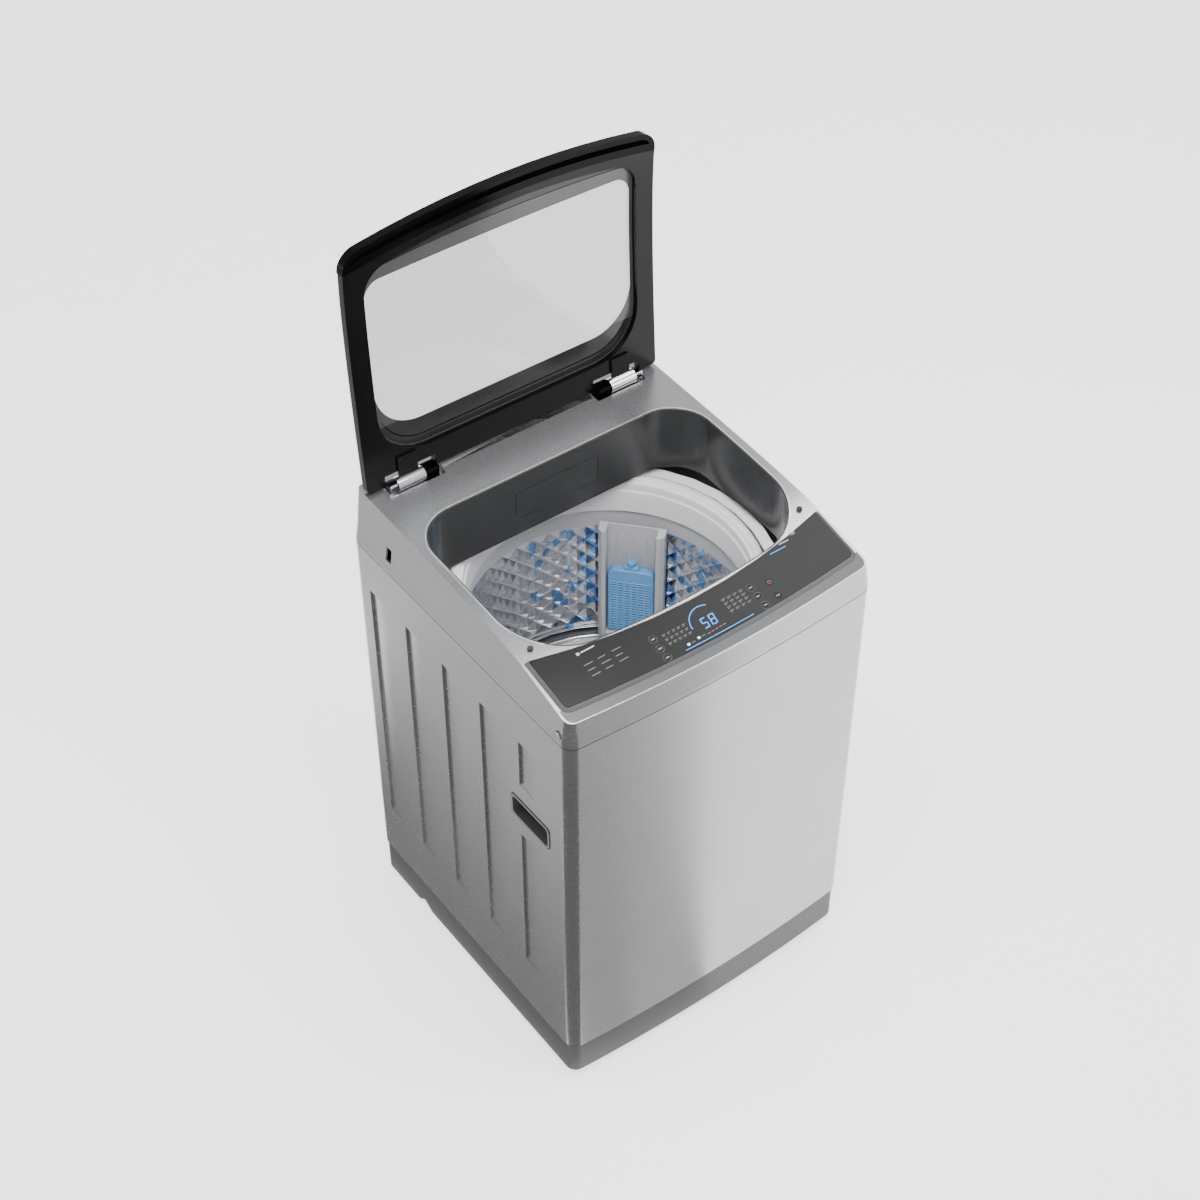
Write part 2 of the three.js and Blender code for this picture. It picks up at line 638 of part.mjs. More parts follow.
const BEZEL_THICK = 3.2;
const FILM_THICK = 0.9;
const FILM_LOW = GAP + BEZEL_THICK + GAP;
const FILM_TOP = FILM_LOW + FILM_THICK;
const BOARD_TOP = -12;
const BOARD_THICK = 1.6;
const KEY_X = 100;
const KEY_ROWS = [68, 48, 28.5];
const POWER_AT = [134, 61];
const START_AT = [130, 33];
const DISPLAY_AT = [0, 49];

// an outline seen from above, laid out along the panel's slope
const alongSlope = (points) => points.map(
  ([x, y]) => [x, (y - FRONT_Y) / Math.cos(PANEL_TILT)]);

const keyPlaces = [
  ['key_left_top', -KEY_X, KEY_ROWS[0]],
  ['key_left_middle', -KEY_X, KEY_ROWS[1]],
  ['key_left_bottom', -KEY_X, KEY_ROWS[2]],
  ['key_right_top', KEY_X, KEY_ROWS[0]],
  ['key_right_middle', KEY_X, KEY_ROWS[1]],
  ['key_right_bottom', KEY_X, KEY_ROWS[2]],
  ['key_power', ...POWER_AT],
  ['key_start', ...START_AT],
];

function keyHoles(low, high) {
  const holes = keyPlaces.map(([, x, y]) => bar(KEY_R + KEY_HOLE_GAP, low, high, [x, y], 'z', 14));
  return holes.reduce((all, hole) => all.add(hole));
}

function panelBezel() {
  const low = GAP;
  const high = GAP + BEZEL_THICK;
  const body = loft([
    { points: alongSlope(panelOutline(7)), z: low },
    { points: alongSlope(panelOutline(6.4)), z: low + 0.8 },
    { points: alongSlope(panelOutline(1.6)), z: high },
  ]);
  const [x, y] = DISPLAY_AT;
  const window = block([x - 26, y - 20, low - 9], [x + 26, y + 20, high + 9]);
  return body.subtract(keyHoles(low - 9, high + 9)).subtract(window);
}
place('panel_bezel', panelBezel(), 'silver_plastic', panel);

function panelFilm() {
  return prism(alongSlope(panelOutline(0)), FILM_LOW, FILM_TOP).subtract(keyHoles(0, 20));
}
place('panel_film', panelFilm(), 'smoked_film', panel);

function panelKey(x, y) {
  const cap = bar(KEY_R, GAP + 1, FILM_TOP + 0.3, [x, y], 'z', 14);
  const stem = bar(2.5, BOARD_TOP + 4, GAP + 2, [x, y], 'z', 8);
  return cap.add(stem);
}
for (const [name, x, y] of keyPlaces) place(name, panelKey(x, y), 'key_film', panel);

function controlBoard() {
  const board = block([-150, 14, BOARD_TOP - BOARD_THICK], [150, 80, BOARD_TOP]);
  const [x, y] = DISPLAY_AT;
  let made = board.add(block([x - 24, y - 17, BOARD_TOP - 0.5], [x + 24, y + 17, GAP + BEZEL_THICK - 1]));
  for (const [, kx, ky] of keyPlaces) {
    made = made.add(block([kx - 3, ky - 3, BOARD_TOP - 0.5], [kx + 3, ky + 3, BOARD_TOP + 3]));
  }
  return made;
}
place('control_board', controlBoard(), 'circuit_board', panel);

// ---------------------------------------------------------------- lid bumpers
const BUMPER_X = WIDTH / 2 - 39;
const BUMPER_Y = FRONT_Y + 151;
const BUMPER_R = 5;
for (const [name, side] of bothSides) {
  const top = deckZ(BUMPER_Y - BUMPER_R) + LID_LIFT - GAP;
  const post = bar(BUMPER_R, SEAM_Z + 20, top, [side * BUMPER_X, BUMPER_Y], 'z', 14);
  place(`lid_bumper_${name}`, post.subtract(belowDeck(GAP)), 'rubber');
}

// ---------------------------------------------------------------- lid
const LID_BACK = HINGE_Y - 2;
const LID_FRONT = HINGE_Y - LID_REACH + LID_BOW;
const BAR_WIDE = 44;
const FRAME_WIDE = 36;

const lidOutline = (inset = 0) => outline({
  half: LID_HALF - inset,
  front: LID_FRONT + inset,
  back: LID_BACK - inset,
  frontR: 30 - inset,
  backR: 8,
  frontBow: LID_BOW,
  corner: 6,
});

// the line, parallel to the lid's front edge, where the front bar meets the frame
const barBack = (from) => outline({
  half: LID_HALF + 40,
  front: LID_FRONT + from,
  back: LID_BACK + 80,
  frontR: 4,
  backR: 4,
  frontBow: LID_BOW * ((LID_HALF + 40) / LID_HALF) ** 2,
  corner: 2,
  edge: 16,
});

const lidBox = prism(lidOutline(), SEAM_Z - 50, BACK_Z + 100);
const behindBar = (from) => prism(barBack(from), SEAM_Z - 60, BACK_Z + 120);
const LID_TOP = LID_LIFT + LID_THICK;
const GLASS_LOW = LID_TOP - GLASS;

const lid = new THREE.Group();
lid.position.set(0, HINGE_Y, HINGE_Z);
lid.rotation.x = THREE.MathUtils.degToRad(-LID_OPEN_DEG);
machine.add(lid);

// lid pieces are drawn closed in the machine's own frame, then hung on the axis
const onAxis = (shape) => shape.translate([0, -HINGE_Y, -HINGE_Z]);

function hingeClearance() {
  const cuts = bothSides.map(([, side]) => {
    const x0 = side * (SOCKET_IN - 3);
    const x1 = side * (BARREL_OUT + BRACKET_WIDE + 3);
    return block([Math.min(x0, x1), HINGE_Y - 23, SEAM_Z], [Math.max(x0, x1), HINGE_Y + 60, BACK_Z + 60]);
  });
  return cuts[0].add(cuts[1]);
}

function lidFrame() {
  const layer = lidBox.intersect(deckLayer(LID_LIFT, GLASS_LOW - GAP));
  const window = prism(outline({
    half: LID_HALF - FRAME_WIDE,
    front: LID_FRONT + BAR_WIDE + 6,
    back: LID_BACK - 48,
    frontR: 40,
    backR: 90,
    frontBow: LID_BOW,
    corner: 6,
  }), SEAM_Z - 50, BACK_Z + 100);
  return layer.intersect(behindBar(BAR_WIDE + GAP)).subtract(window).subtract(hingeClearance());
}
place('lid_frame', onAxis(lidFrame()), 'black_plastic', lid);

function lidGlass() {
  const plate = prism(lidOutline(1.5), SEAM_Z - 50, BACK_Z + 100)
    .intersect(deckLayer(GLASS_LOW, LID_TOP));
  return plate.intersect(behindBar(BAR_WIDE + GAP)).subtract(hingeClearance());
}
place('lid_glass', onAxis(lidGlass()), 'glass', lid);

function lidBar() {
  const full = lidBox.intersect(deckLayer(LID_LIFT, LID_TOP)).subtract(behindBar(BAR_WIDE));
  const grip = prism(lidOutline(9), SEAM_Z - 50, BACK_Z + 100)
    .intersect(deckLayer(LID_LIFT - 5, LID_LIFT + 7))
    .subtract(behindBar(BAR_WIDE - 14));
  return full.subtract(grip);
}
place('lid_bar', onAxis(lidBar()), 'black_plastic', lid);

const PIN_R = 5;
function hingeBarrel(side) {
  const x0 = BARREL_IN;
  const x1 = BARREL_OUT;
  const tube = bar(BARREL_R, x0, x1, [HINGE_Y, HINGE_Z], 'x', 24);
  const arm = block([x0 + 8, HINGE_Y - 52, SEAM_Z], [x1 - 8, HINGE_Y - 6, BACK_Z + 60])
    .intersect(deckLayer(LID_LIFT - GAP - 4, LID_LIFT - GAP));
  const bore = bar(PIN_R + RUNNING, x0 - 9, x1 + 9, [HINGE_Y, HINGE_Z], 'x', 16);
  const made = tube.add(arm).subtract(bore);
  return side > 0 ? made : made.mirror([1, 0, 0]);
}

function hingeBracket(side) {
  const pocketFloor = HINGE_Z - BARREL_R - 3;
  const x0 = BARREL_OUT + 1;
  const x1 = x0 + BRACKET_WIDE;
  const tab = block([x0, HINGE_Y - 9, pocketFloor + GAP], [x1, HINGE_Y + 9, HINGE_Z + 9]);
  const inner = block(
    [SOCKET_IN, HINGE_Y - 11, pocketFloor + GAP], [BARREL_IN - 1, HINGE_Y + 11, HINGE_Z + 10]);
  const pin = bar(PIN_R, SOCKET_IN + 2, x1 - 2, [HINGE_Y, HINGE_Z], 'x', 16);
  const made = tab.add(inner).add(pin);
  return side > 0 ? made : made.mirror([1, 0, 0]);
}
for (const [name, side] of bothSides) {
  place(`hinge_barrel_${name}`, onAxis(hingeBarrel(side)), 'chrome', lid);
  place(`hinge_bracket_${name}`, hingeBracket(side), 'chrome');
}

// ---------------------------------------------------------------- outer tub and its suspension
const TUB_WALL = 3;
const TUB_RING_GAP = 5;
const LUG_Z = TUB_FLOOR + 78;
const LUG_THICK = 8;
const LUG_WIDE = 52;
const LUG_BEYOND_ROD = 24;
const DAMPER_R = 20;
const DAMPER_TALL = 52;
const DRAIN_AT = [-120, 120];

function outerTub() {
  let tub = turned([
    [BASKET_SHAFT_R + 3, TUB_FLOOR], [TUB_R - 20, TUB_FLOOR], [TUB_R, TUB_FLOOR + 20],
    [TUB_R, TUB_TOP], [TUB_R - TUB_WALL, TUB_TOP], [TUB_R - TUB_WALL, TUB_FLOOR + 22],
    [TUB_R - 22, TUB_FLOOR + TUB_WALL], [BASKET_SHAFT_R + 3, TUB_FLOOR + TUB_WALL],
  ], ROUND);
  for (const [, sx, sy] of fourCorners) {
    const angle = Math.atan2(sy * ROD_Y, sx * ROD_X);
    const reach = Math.hypot(ROD_X, ROD_Y) + LUG_BEYOND_ROD;
    const root = TUB_R - 2;
    const across = LUG_WIDE / 2;
    const along = [Math.cos(angle), Math.sin(angle)];
    const lug = [[root, -across], [reach, -across], [reach, across], [root, across]]
      .map(([r, t]) => [along[0] * r - along[1] * t, along[1] * r + along[0] * t]);
    tub = tub.add(prism(lug, LUG_Z, LUG_Z + LUG_THICK));
    tub = tub.subtract(bar(ROD_R + 2, LUG_Z - 9, LUG_Z + 19, [sx * ROD_X, sy * ROD_Y], 'z', 12));
  }
  return tub.subtract(bar(14, TUB_FLOOR - 9, TUB_FLOOR + 9, DRAIN_AT, 'z', 16));
}
place('outer_tub', outerTub(), 'white_plastic');

place('tub_ring', turned([
  [RING_R + TUB_RING_GAP, TUB_TOP + GAP], [TUB_R + 3, TUB_TOP + GAP], [TUB_R + 3, TUB_TOP - 14],
  [TUB_R + 5, TUB_TOP - 14], [TUB_R + 5, TUB_TOP + 3.4], [RING_R + TUB_RING_GAP, TUB_TOP + 3.4],
], ROUND), 'white_plastic');

for (const [name, sx, sy] of fourCorners) {
  const rod = bar(ROD_R, LUG_Z - DAMPER_TALL - 34, GUSSET_Z + 6, [0, 0], 'z', 8);
  const foothold = bar(9, LUG_Z - DAMPER_TALL - 34, LUG_Z - DAMPER_TALL - 28, [0, 0], 'z', 10);
  const head = bar(9, GUSSET_Z + 2 + GAP, GUSSET_Z + 9, [0, 0], 'z', 10);
  const hanger = rod.add(foothold).add(head);
  place(`suspension_rod_${name}`, hanger, 'zinc_steel').position.set(sx * ROD_X, sy * ROD_Y, 0);
  const cup = turned([
    [ROD_R + 1, LUG_Z - DAMPER_TALL], [DAMPER_R - 3, LUG_Z - DAMPER_TALL],
    [DAMPER_R, LUG_Z - DAMPER_TALL + 5], [DAMPER_R, LUG_Z - GAP], [ROD_R + 1, LUG_Z - GAP],
  ], 14);
  place(`damper_cup_${name}`, cup, 'dark_plastic').position.set(sx * ROD_X, sy * ROD_Y, 0);
}

// ---------------------------------------------------------------- drive
const PLATE_THICK = 4;
const PLATE_Z = TUB_FLOOR - GAP - PLATE_THICK;
const CASE_R = 60;
const CASE_LOW = BELT_Z + BELT_WIDE + 28;
const PULLEY_EDGE = 3;

function mountingPlate() {
  const wing = 70;
  const plate = prism([
    [MOTOR_X - wing, -wing], [120, -110], [140, -60], [140, 60], [120, 110], [MOTOR_X - wing, wing],
  ], PLATE_Z, PLATE_Z + PLATE_THICK);
  return plate.subtract(bar(BASKET_SHAFT_R + 3, 0, TUB_TOP)).subtract(bar(26, 0, TUB_TOP, DRAIN_AT));
}
place('mounting_plate', mountingPlate(), 'zinc_steel');

place('bearing_housing', turned([
  [BASKET_SHAFT_R + RUNNING, CASE_LOW], [CASE_R - 12, CASE_LOW], [CASE_R, CASE_LOW + 12],
  [CASE_R, PLATE_Z - 30], [CASE_R + 22, PLATE_Z - 12], [CASE_R + 22, PLATE_Z - GAP],
  [BASKET_SHAFT_R + RUNNING, PLATE_Z - GAP],
], 24), 'cast_alloy');

const MOTOR_R = 58;
const MOTOR_LOW = BELT_Z + BELT_WIDE + 14;
const MOTOR_TALL = 118;
const MOTOR_SHAFT_R = 6;
function motor() {
  const can = turned([
    [0, MOTOR_LOW], [MOTOR_R - 14, MOTOR_LOW], [MOTOR_R, MOTOR_LOW + 14],
    [MOTOR_R, MOTOR_LOW + MOTOR_TALL - 14], [MOTOR_R - 14, MOTOR_LOW + MOTOR_TALL],
    [0, MOTOR_LOW + MOTOR_TALL],
  ], 28);
  let made = can;
  for (const side of [-1, 1]) {
    const post = block([-8, side * 46 - 8, MOTOR_LOW + MOTOR_TALL - 40], [8, side * 46 + 8, PLATE_Z - GAP]);
    made = made.add(post);
  }
  return made.subtract(bar(MOTOR_SHAFT_R + RUNNING, MOTOR_LOW - 9, MOTOR_LOW + 40));
}
place('motor', motor(), 'cast_alloy').position.x = MOTOR_X;

// a pulley whose belt seat has the stated radius, with a low flange above and below
function pulleyProfile(radius, bore) {
  const low = BELT_Z - PULLEY_EDGE;
  const high = BELT_Z + BELT_WIDE + PULLEY_EDGE;
  return [
    [bore, low], [radius + 3, low], [radius + 3, low + 2], [radius, low + 2],
    [radius, high - 2], [radius + 3, high - 2], [radius + 3, high], [bore, high],
  ];
}
place('motor_pulley', turned(pulleyProfile(MOTOR_PULLEY_R, 0), 24)
  .add(bar(MOTOR_SHAFT_R, BELT_Z, MOTOR_LOW + 36)), 'zinc_steel').position.x = MOTOR_X;

function drivePulley() {
  let wheel = turned(pulleyProfile(DRIVE_PULLEY_R, SHAFT_R + GAP), 28);
  for (let i = 0; i < 5; i += 1) {
    const angle = (2 * Math.PI * i) / 5;
    const at = [54 * Math.cos(angle), 54 * Math.sin(angle)];
    wheel = wheel.subtract(bar(19, 0, TUB_FLOOR, at, 'z', 10));
  }
  return wheel;
}
place('drive_pulley', drivePulley(), 'cast_alloy');

// the belt runs straight between two arcs that share their outer tangents
function beltLoop(grow) {
  const lean = Math.asin((DRIVE_PULLEY_R - MOTOR_PULLEY_R) / -MOTOR_X);
  const points = [];
  const arc = (cx, radius, from, to, steps) => {
    for (let i = 0; i <= steps; i += 1) {
      const angle = from + (to - from) * (i / steps);
      points.push([cx + (radius + grow) * Math.cos(angle), (radius + grow) * Math.sin(angle)]);
    }
  };
  const quarter = Math.PI / 2;
  arc(0, DRIVE_PULLEY_R + GAP, -quarter - lean, quarter + lean, 22);
  arc(MOTOR_X, MOTOR_PULLEY_R + GAP, quarter + lean, 3 * quarter - lean, 8);
  return points;
}
place('drive_belt', prism(beltLoop(BELT_THICK), BELT_Z, BELT_Z + BELT_WIDE)
  .subtract(prism(beltLoop(0), BELT_Z - 9, BELT_Z + 29)), 'rubber');

// ---------------------------------------------------------------- drain
function drainValve() {
  const [x, y] = DRAIN_AT;
  const neck = bar(12, PLATE_Z - 30, TUB_FLOOR + 1, [x, y], 'z', 16);
  const body = block([x - 22, y - 24, PLATE_Z - 62], [x + 22, y + 24, PLATE_Z - 22]);
  const spout = bar(11, y + 20, y + 42, [PLATE_Z - 42, x], 'y', 16);
  const pull = block([x + 20, y - 9, PLATE_Z - 54], [x + 62, y + 9, PLATE_Z - 34]);
  return neck.add(body).add(spout).add(pull).subtract(bar(8, PLATE_Z - 50, TUB_FLOOR + 9, [x, y], 'z', 12));
}
place('drain_valve', drainValve(), 'dark_plastic');

function drainHose() {
  const [x, y] = DRAIN_AT;
  const route = new THREE.CatmullRomCurve3([
    new THREE.Vector3(x, y + 43, PLATE_Z - 42),
    new THREE.Vector3(x, y + 60, PLATE_Z - 42),
    new THREE.Vector3(x - 12, y + 100, PLATE_Z - 74),
    new THREE.Vector3(x - 32, y + 120, PLATE_Z - 150),
    new THREE.Vector3(DRAIN_X, y + 118, DRAIN_Z + 60),
    new THREE.Vector3(DRAIN_X, y + 150, DRAIN_Z + 6),
    new THREE.Vector3(DRAIN_X, BACK_Y - 8, DRAIN_Z),
    new THREE.Vector3(DRAIN_X, BACK_Y + 5, DRAIN_Z),
  ]);
  const section = new THREE.Shape();
  section.absarc(0, 0, DRAIN_R - 1, 0, 2 * Math.PI);
  const geometry = new THREE.ExtrudeGeometry(section, {
    steps: 14, curveSegments: 8, extrudePath: route, bevelEnabled: false,
  });
  return solid(geometry);
}
place('drain_hose', drainHose(), 'dark_plastic');

// ---------------------------------------------------------------- basket
const BASKET_WALL = 2;
const RING_LOW = RING_TOP - RING_HEIGHT;
const HUB_TOP = BASKET_FLOOR + 16;

place('basket_wall', turned([
  [BASKET_R - BASKET_WALL, BASKET_FLOOR + 14], [BASKET_R, BASKET_FLOOR + 14],
  [BASKET_R, RING_LOW + 20], [BASKET_R - BASKET_WALL, RING_LOW + 20],
], ROUND), 'stainless');

const CURB_R = BASKET_R - 11;          // bright curb where the floor meets the wall
place('basket_base', turned([
  [SHAFT_R + RUNNING, CASE_LOW + 20], [BASKET_SHAFT_R, CASE_LOW + 20],
  [BASKET_SHAFT_R, BASKET_FLOOR - 20], [48, BASKET_FLOOR - 14], [60, BASKET_FLOOR - 3],
  [CURB_R - 4, BASKET_FLOOR - 6], [BASKET_R + 3, BASKET_FLOOR + 8],
  [BASKET_R + 3, BASKET_FLOOR + 30], [BASKET_R + GAP, BASKET_FLOOR + 30],
  [BASKET_R + GAP, BASKET_FLOOR + 12], [BASKET_R - BASKET_WALL - GAP, BASKET_FLOOR + 12],
  [BASKET_R - BASKET_WALL - GAP, BASKET_FLOOR + 26], [CURB_R + 2, BASKET_FLOOR + 26],
  [CURB_R, BASKET_FLOOR + 22], [CURB_R, BASKET_FLOOR + 6], [CURB_R - 10, BASKET_FLOOR],
  [60, BASKET_FLOOR + 2], [44, HUB_TOP - 2], [SHAFT_R + RUNNING, HUB_TOP - 2],
], ROUND), 'stainless');

place('balance_ring', turned([
  [BASKET_R - 13, RING_LOW], [BASKET_R - BASKET_WALL - GAP, RING_LOW],
  [BASKET_R - BASKET_WALL - GAP, RING_LOW + 21], [BASKET_R + GAP, RING_LOW + 21],
  [BASKET_R + GAP, RING_LOW + 8], [RING_R - 2, RING_LOW + 8], [RING_R, RING_LOW + 14],
  [RING_R, RING_TOP - 6], [RING_R - 6, RING_TOP], [RING_R - 16, RING_TOP],
  [RING_R - 22, RING_TOP - 6], [RING_R - 24, RING_TOP - 24], [RING_R - 27, RING_TOP - 30],
], ROUND), 'ring_plastic');

// ---------------------------------------------------------------- lint filter
const FILTER_SEAT = BASKET_R - 22;              // radius of the housing's back face
const FILTER_HALF = 61;
const FILTER_LOW = BASKET_FLOOR + 8;
const FILTER_TOP = RING_LOW - 22;
const CARTRIDGE_HALF = 44;
const CARTRIDGE_LOW = BASKET_FLOOR + 46;
const CARTRIDGE_TALL = 156;
const CARTRIDGE_DEEP = 20;

const filter = new THREE.Group();
filter.rotation.z = THREE.MathUtils.degToRad(FILTER_ANGLE);
machine.add(filter);

function filterHousing() {
  const front = FILTER_SEAT - 30;
  const body = prism([
    [FILTER_SEAT, -FILTER_HALF], [FILTER_SEAT, FILTER_HALF], [front + 8, FILTER_HALF],
    [front, FILTER_HALF - 8], [front, -FILTER_HALF + 8], [front + 8, -FILTER_HALF],
  ].reverse(), FILTER_LOW, FILTER_TOP);
  const well = block(
    [front - 9, -CARTRIDGE_HALF - 2, CARTRIDGE_LOW - 2],
    [FILTER_SEAT - 3, CARTRIDGE_HALF + 2, FILTER_TOP + 9]);
  return body.subtract(well);
}
place('filter_housing', filterHousing(), 'clear_plastic', filter);

function filterCartridge() {
  const back = FILTER_SEAT - 4;
  const front = back - CARTRIDGE_DEEP;
  const body = block([front, -CARTRIDGE_HALF, CARTRIDGE_LOW],
    [back, CARTRIDGE_HALF, CARTRIDGE_LOW + CARTRIDGE_TALL]);
  const latch = block([front + 3, -15, CARTRIDGE_LOW + CARTRIDGE_TALL - 1],
    [back - 3, 15, CARTRIDGE_LOW + CARTRIDGE_TALL + 10]);
  const knob = block([front + 5, -9, CARTRIDGE_LOW + CARTRIDGE_TALL + 8],
    [back - 5, 9, CARTRIDGE_LOW + CARTRIDGE_TALL + 20]);
  const hollow = block([front + 2, -CARTRIDGE_HALF + 3, CARTRIDGE_LOW + 4],
    [back + 9, CARTRIDGE_HALF - 3, CARTRIDGE_LOW + CARTRIDGE_TALL - 16]);
  return body.add(latch).add(knob).subtract(hollow);
}
place('filter_cartridge', filterCartridge(), 'filter_blue', filter);

// ---------------------------------------------------------------- pulsator
const PULSATOR_LOW = HUB_TOP + 2;
const VANES = 6;
function pulsator() {
  let disc = turned([
    [SHAFT_R - 1, PULSATOR_LOW], [PULSATOR_R - 12, PULSATOR_LOW], [PULSATOR_R, PULSATOR_LOW + 10],
    [PULSATOR_R, PULSATOR_LOW + 24], [PULSATOR_R - 12, PULSATOR_LOW + 26],
    [PULSATOR_R - 26, PULSATOR_LOW + 10], [70, PULSATOR_LOW + 8], [36, PULSATOR_LOW + 24],
    [SHAFT_R - 1, PULSATOR_LOW + 26],
  ], 28);
  for (let i = 0; i < VANES; i += 1) {
    const angle = (2 * Math.PI * i) / VANES;
    const along = [Math.cos(angle), Math.sin(angle)];
    const foot = [[30, -13], [190, -8], [196, 0], [190, 8], [30, 13]]
      .map(([r, t]) => [along[0] * r - along[1] * t, along[1] * r + along[0] * t]);
    disc = disc.add(loft([
      { points: foot, z: PULSATOR_LOW + 4 },
      { points: foot.map(([x, y]) => [x * 0.94, y * 0.94]), z: PULSATOR_LOW + 26 },
    ]));
  }
  return disc.subtract(bar(SHAFT_R + GAP, 0, PULSATOR_LOW + 20));
}
place('pulsator', pulsator(), 'ring_plastic');
place('drive_shaft', bar(SHAFT_R, BELT_Z - 16, PULSATOR_LOW + 19), 'zinc_steel');

export default machine;
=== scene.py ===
import json
import math

import bmesh
import bpy
from mathutils import Matrix, Vector

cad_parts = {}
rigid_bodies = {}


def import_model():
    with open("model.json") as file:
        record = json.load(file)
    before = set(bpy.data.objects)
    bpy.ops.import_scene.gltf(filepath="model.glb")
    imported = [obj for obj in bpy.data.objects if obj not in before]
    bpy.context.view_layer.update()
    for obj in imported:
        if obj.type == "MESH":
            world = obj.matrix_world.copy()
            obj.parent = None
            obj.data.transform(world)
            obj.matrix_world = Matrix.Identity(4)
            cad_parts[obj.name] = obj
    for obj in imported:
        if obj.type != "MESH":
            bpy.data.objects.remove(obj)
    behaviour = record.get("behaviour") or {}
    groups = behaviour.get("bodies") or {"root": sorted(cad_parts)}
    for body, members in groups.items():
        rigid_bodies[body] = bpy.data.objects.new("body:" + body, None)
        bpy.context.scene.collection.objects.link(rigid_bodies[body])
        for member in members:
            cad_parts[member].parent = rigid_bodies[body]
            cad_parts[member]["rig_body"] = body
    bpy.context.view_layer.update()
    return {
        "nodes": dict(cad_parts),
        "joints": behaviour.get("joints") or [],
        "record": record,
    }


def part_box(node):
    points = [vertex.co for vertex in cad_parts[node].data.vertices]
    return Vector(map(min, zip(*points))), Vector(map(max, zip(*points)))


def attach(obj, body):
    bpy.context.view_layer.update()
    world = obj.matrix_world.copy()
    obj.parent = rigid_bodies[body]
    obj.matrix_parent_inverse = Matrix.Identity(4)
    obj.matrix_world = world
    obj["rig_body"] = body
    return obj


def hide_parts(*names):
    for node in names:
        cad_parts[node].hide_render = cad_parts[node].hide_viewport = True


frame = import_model()

MM = 0.001

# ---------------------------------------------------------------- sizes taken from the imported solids
skin_low, skin_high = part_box("cabinet_shell")
GAP = 0.4 * MM                      # the joints between plinth, cabinet and cover
HALF = skin_high.x                  # cabinet side faces
REAR = skin_high.y
FRONT = -REAR                       # front corners; the middle of the front bows past them
BOW = -skin_low.y - REAR
PLINTH_TOP = skin_low.z - GAP
SEAM = skin_high.z + GAP            # cabinet to top cover
CORNER_R = 22 * MM

# the cover's top from the side: a straight slope that carries the panel, then a long crown to the rear
PANEL_SLOPE = 0.235
PANEL_RUN = 128 * MM
CREST_RUN = 226 * MM
CROWN_RISE = 12 * MM
REAR_SLOPE = 0.03
LIP = SEAM + 50 * MM
RIM_Y = FRONT + PANEL_RUN
RIM_Z = LIP + PANEL_SLOPE * (RIM_Y - FRONT)
CREST = (FRONT + CREST_RUN, RIM_Z + PANEL_SLOPE * (CREST_RUN - PANEL_RUN))
CROWN_END = (REAR, CREST[1] + CROWN_RISE)
HINGE = Vector(frame["joints"][0]["pos_m"])

MOUTH_HALF = HALF - 28 * MM
MOUTH_BACK = REAR - 144.5 * MM
MOUTH_FRONT = FRONT + 127.5 * MM
MOUTH_BOW = 24 * MM
MOUTH_FRONT_R = 105 * MM
MOUTH_BACK_R = 80 * MM


def crown(t):
    a, b, c = (RIM_Y, RIM_Z), CREST, CROWN_END
    return tuple((1 - t) ** 2 * a[i] + 2 * t * (1 - t) * b[i] + t * t * c[i] for i in (0, 1))


# the deck's line in Y and Z, run past the cover at both ends so that a cut along it goes right through
OVERRUN = 60 * MM
EASE = 6 * MM
CROWN_STEPS = 30
DECK = [(FRONT - OVERRUN, LIP - OVERRUN * PANEL_SLOPE), (RIM_Y - EASE, RIM_Z - EASE * PANEL_SLOPE)]
DECK += [crown(i / CROWN_STEPS) for i in range(1, CROWN_STEPS + 1)]
DECK += [(REAR + OVERRUN, CROWN_END[1] + OVERRUN * REAR_SLOPE)]


# ---------------------------------------------------------------- hands
def clear():
    if bpy.context.object and bpy.context.object.mode != "OBJECT":
        bpy.ops.object.mode_set(mode="OBJECT")
    bpy.ops.object.select_all(action="DESELECT")


def take(piece):
    clear()
    piece.select_set(True)
    bpy.context.view_layer.objects.active = piece
    return piece


def work(piece):
    take(piece)
    bpy.ops.object.mode_set(mode="EDIT")
    bpy.ops.mesh.select_mode(type="VERT")
    bpy.ops.mesh.select_all(action="SELECT")


def pick(kind, rule):
    """Selects only the vertices, edges or faces that the rule holds for."""
    mesh = bpy.context.object.data
    bpy.ops.mesh.select_mode(type=kind)
    bpy.ops.mesh.select_all(action="DESELECT")
    shape = bmesh.from_edit_mesh(mesh)
    chosen = {"VERT": shape.verts, "EDGE": shape.edges, "FACE": shape.faces}[kind]
    for item in chosen:
        if rule(item):
            item.select_set(True)
    shape.select_flush_mode()
    bmesh.update_edit_mesh(mesh)


def push(x=0.0, y=0.0, z=0.0):
    bpy.ops.mesh.extrude_region_move(TRANSFORM_OT_translate={"value": (x, y, z)})


def rest_hands(piece, tidy=True):
    """Leaves edit mode, with doubles merged and faces turned outwards unless told not to."""
    if tidy:
        bpy.ops.mesh.select_all(action="SELECT")
        bpy.ops.mesh.remove_doubles(threshold=0.005 * MM)
        bpy.ops.mesh.normals_make_consistent(inside=False)
    bpy.ops.object.mode_set(mode="OBJECT")
    return piece


def modify(piece, kind, **settings):
    take(piece)
    modifier = piece.modifiers.new(kind.lower(), kind)
    for key, value in settings.items():
        setattr(modifier, key, value)
    bpy.ops.object.modifier_apply(modifier=modifier.name)
    return piece


def soften(piece, width, segments=3, angle=35):
    return modify(piece, "BEVEL", width=width * MM, segments=segments, limit_method="ANGLE",
                  angle_limit=math.radians(angle), harden_normals=False, miter_outer="MITER_ARC")


def combine(piece, other, how="DIFFERENCE"):
    modify(piece, "BOOLEAN", operation=how, object=other, solver="EXACT")
    bpy.data.objects.remove(other)
    return piece


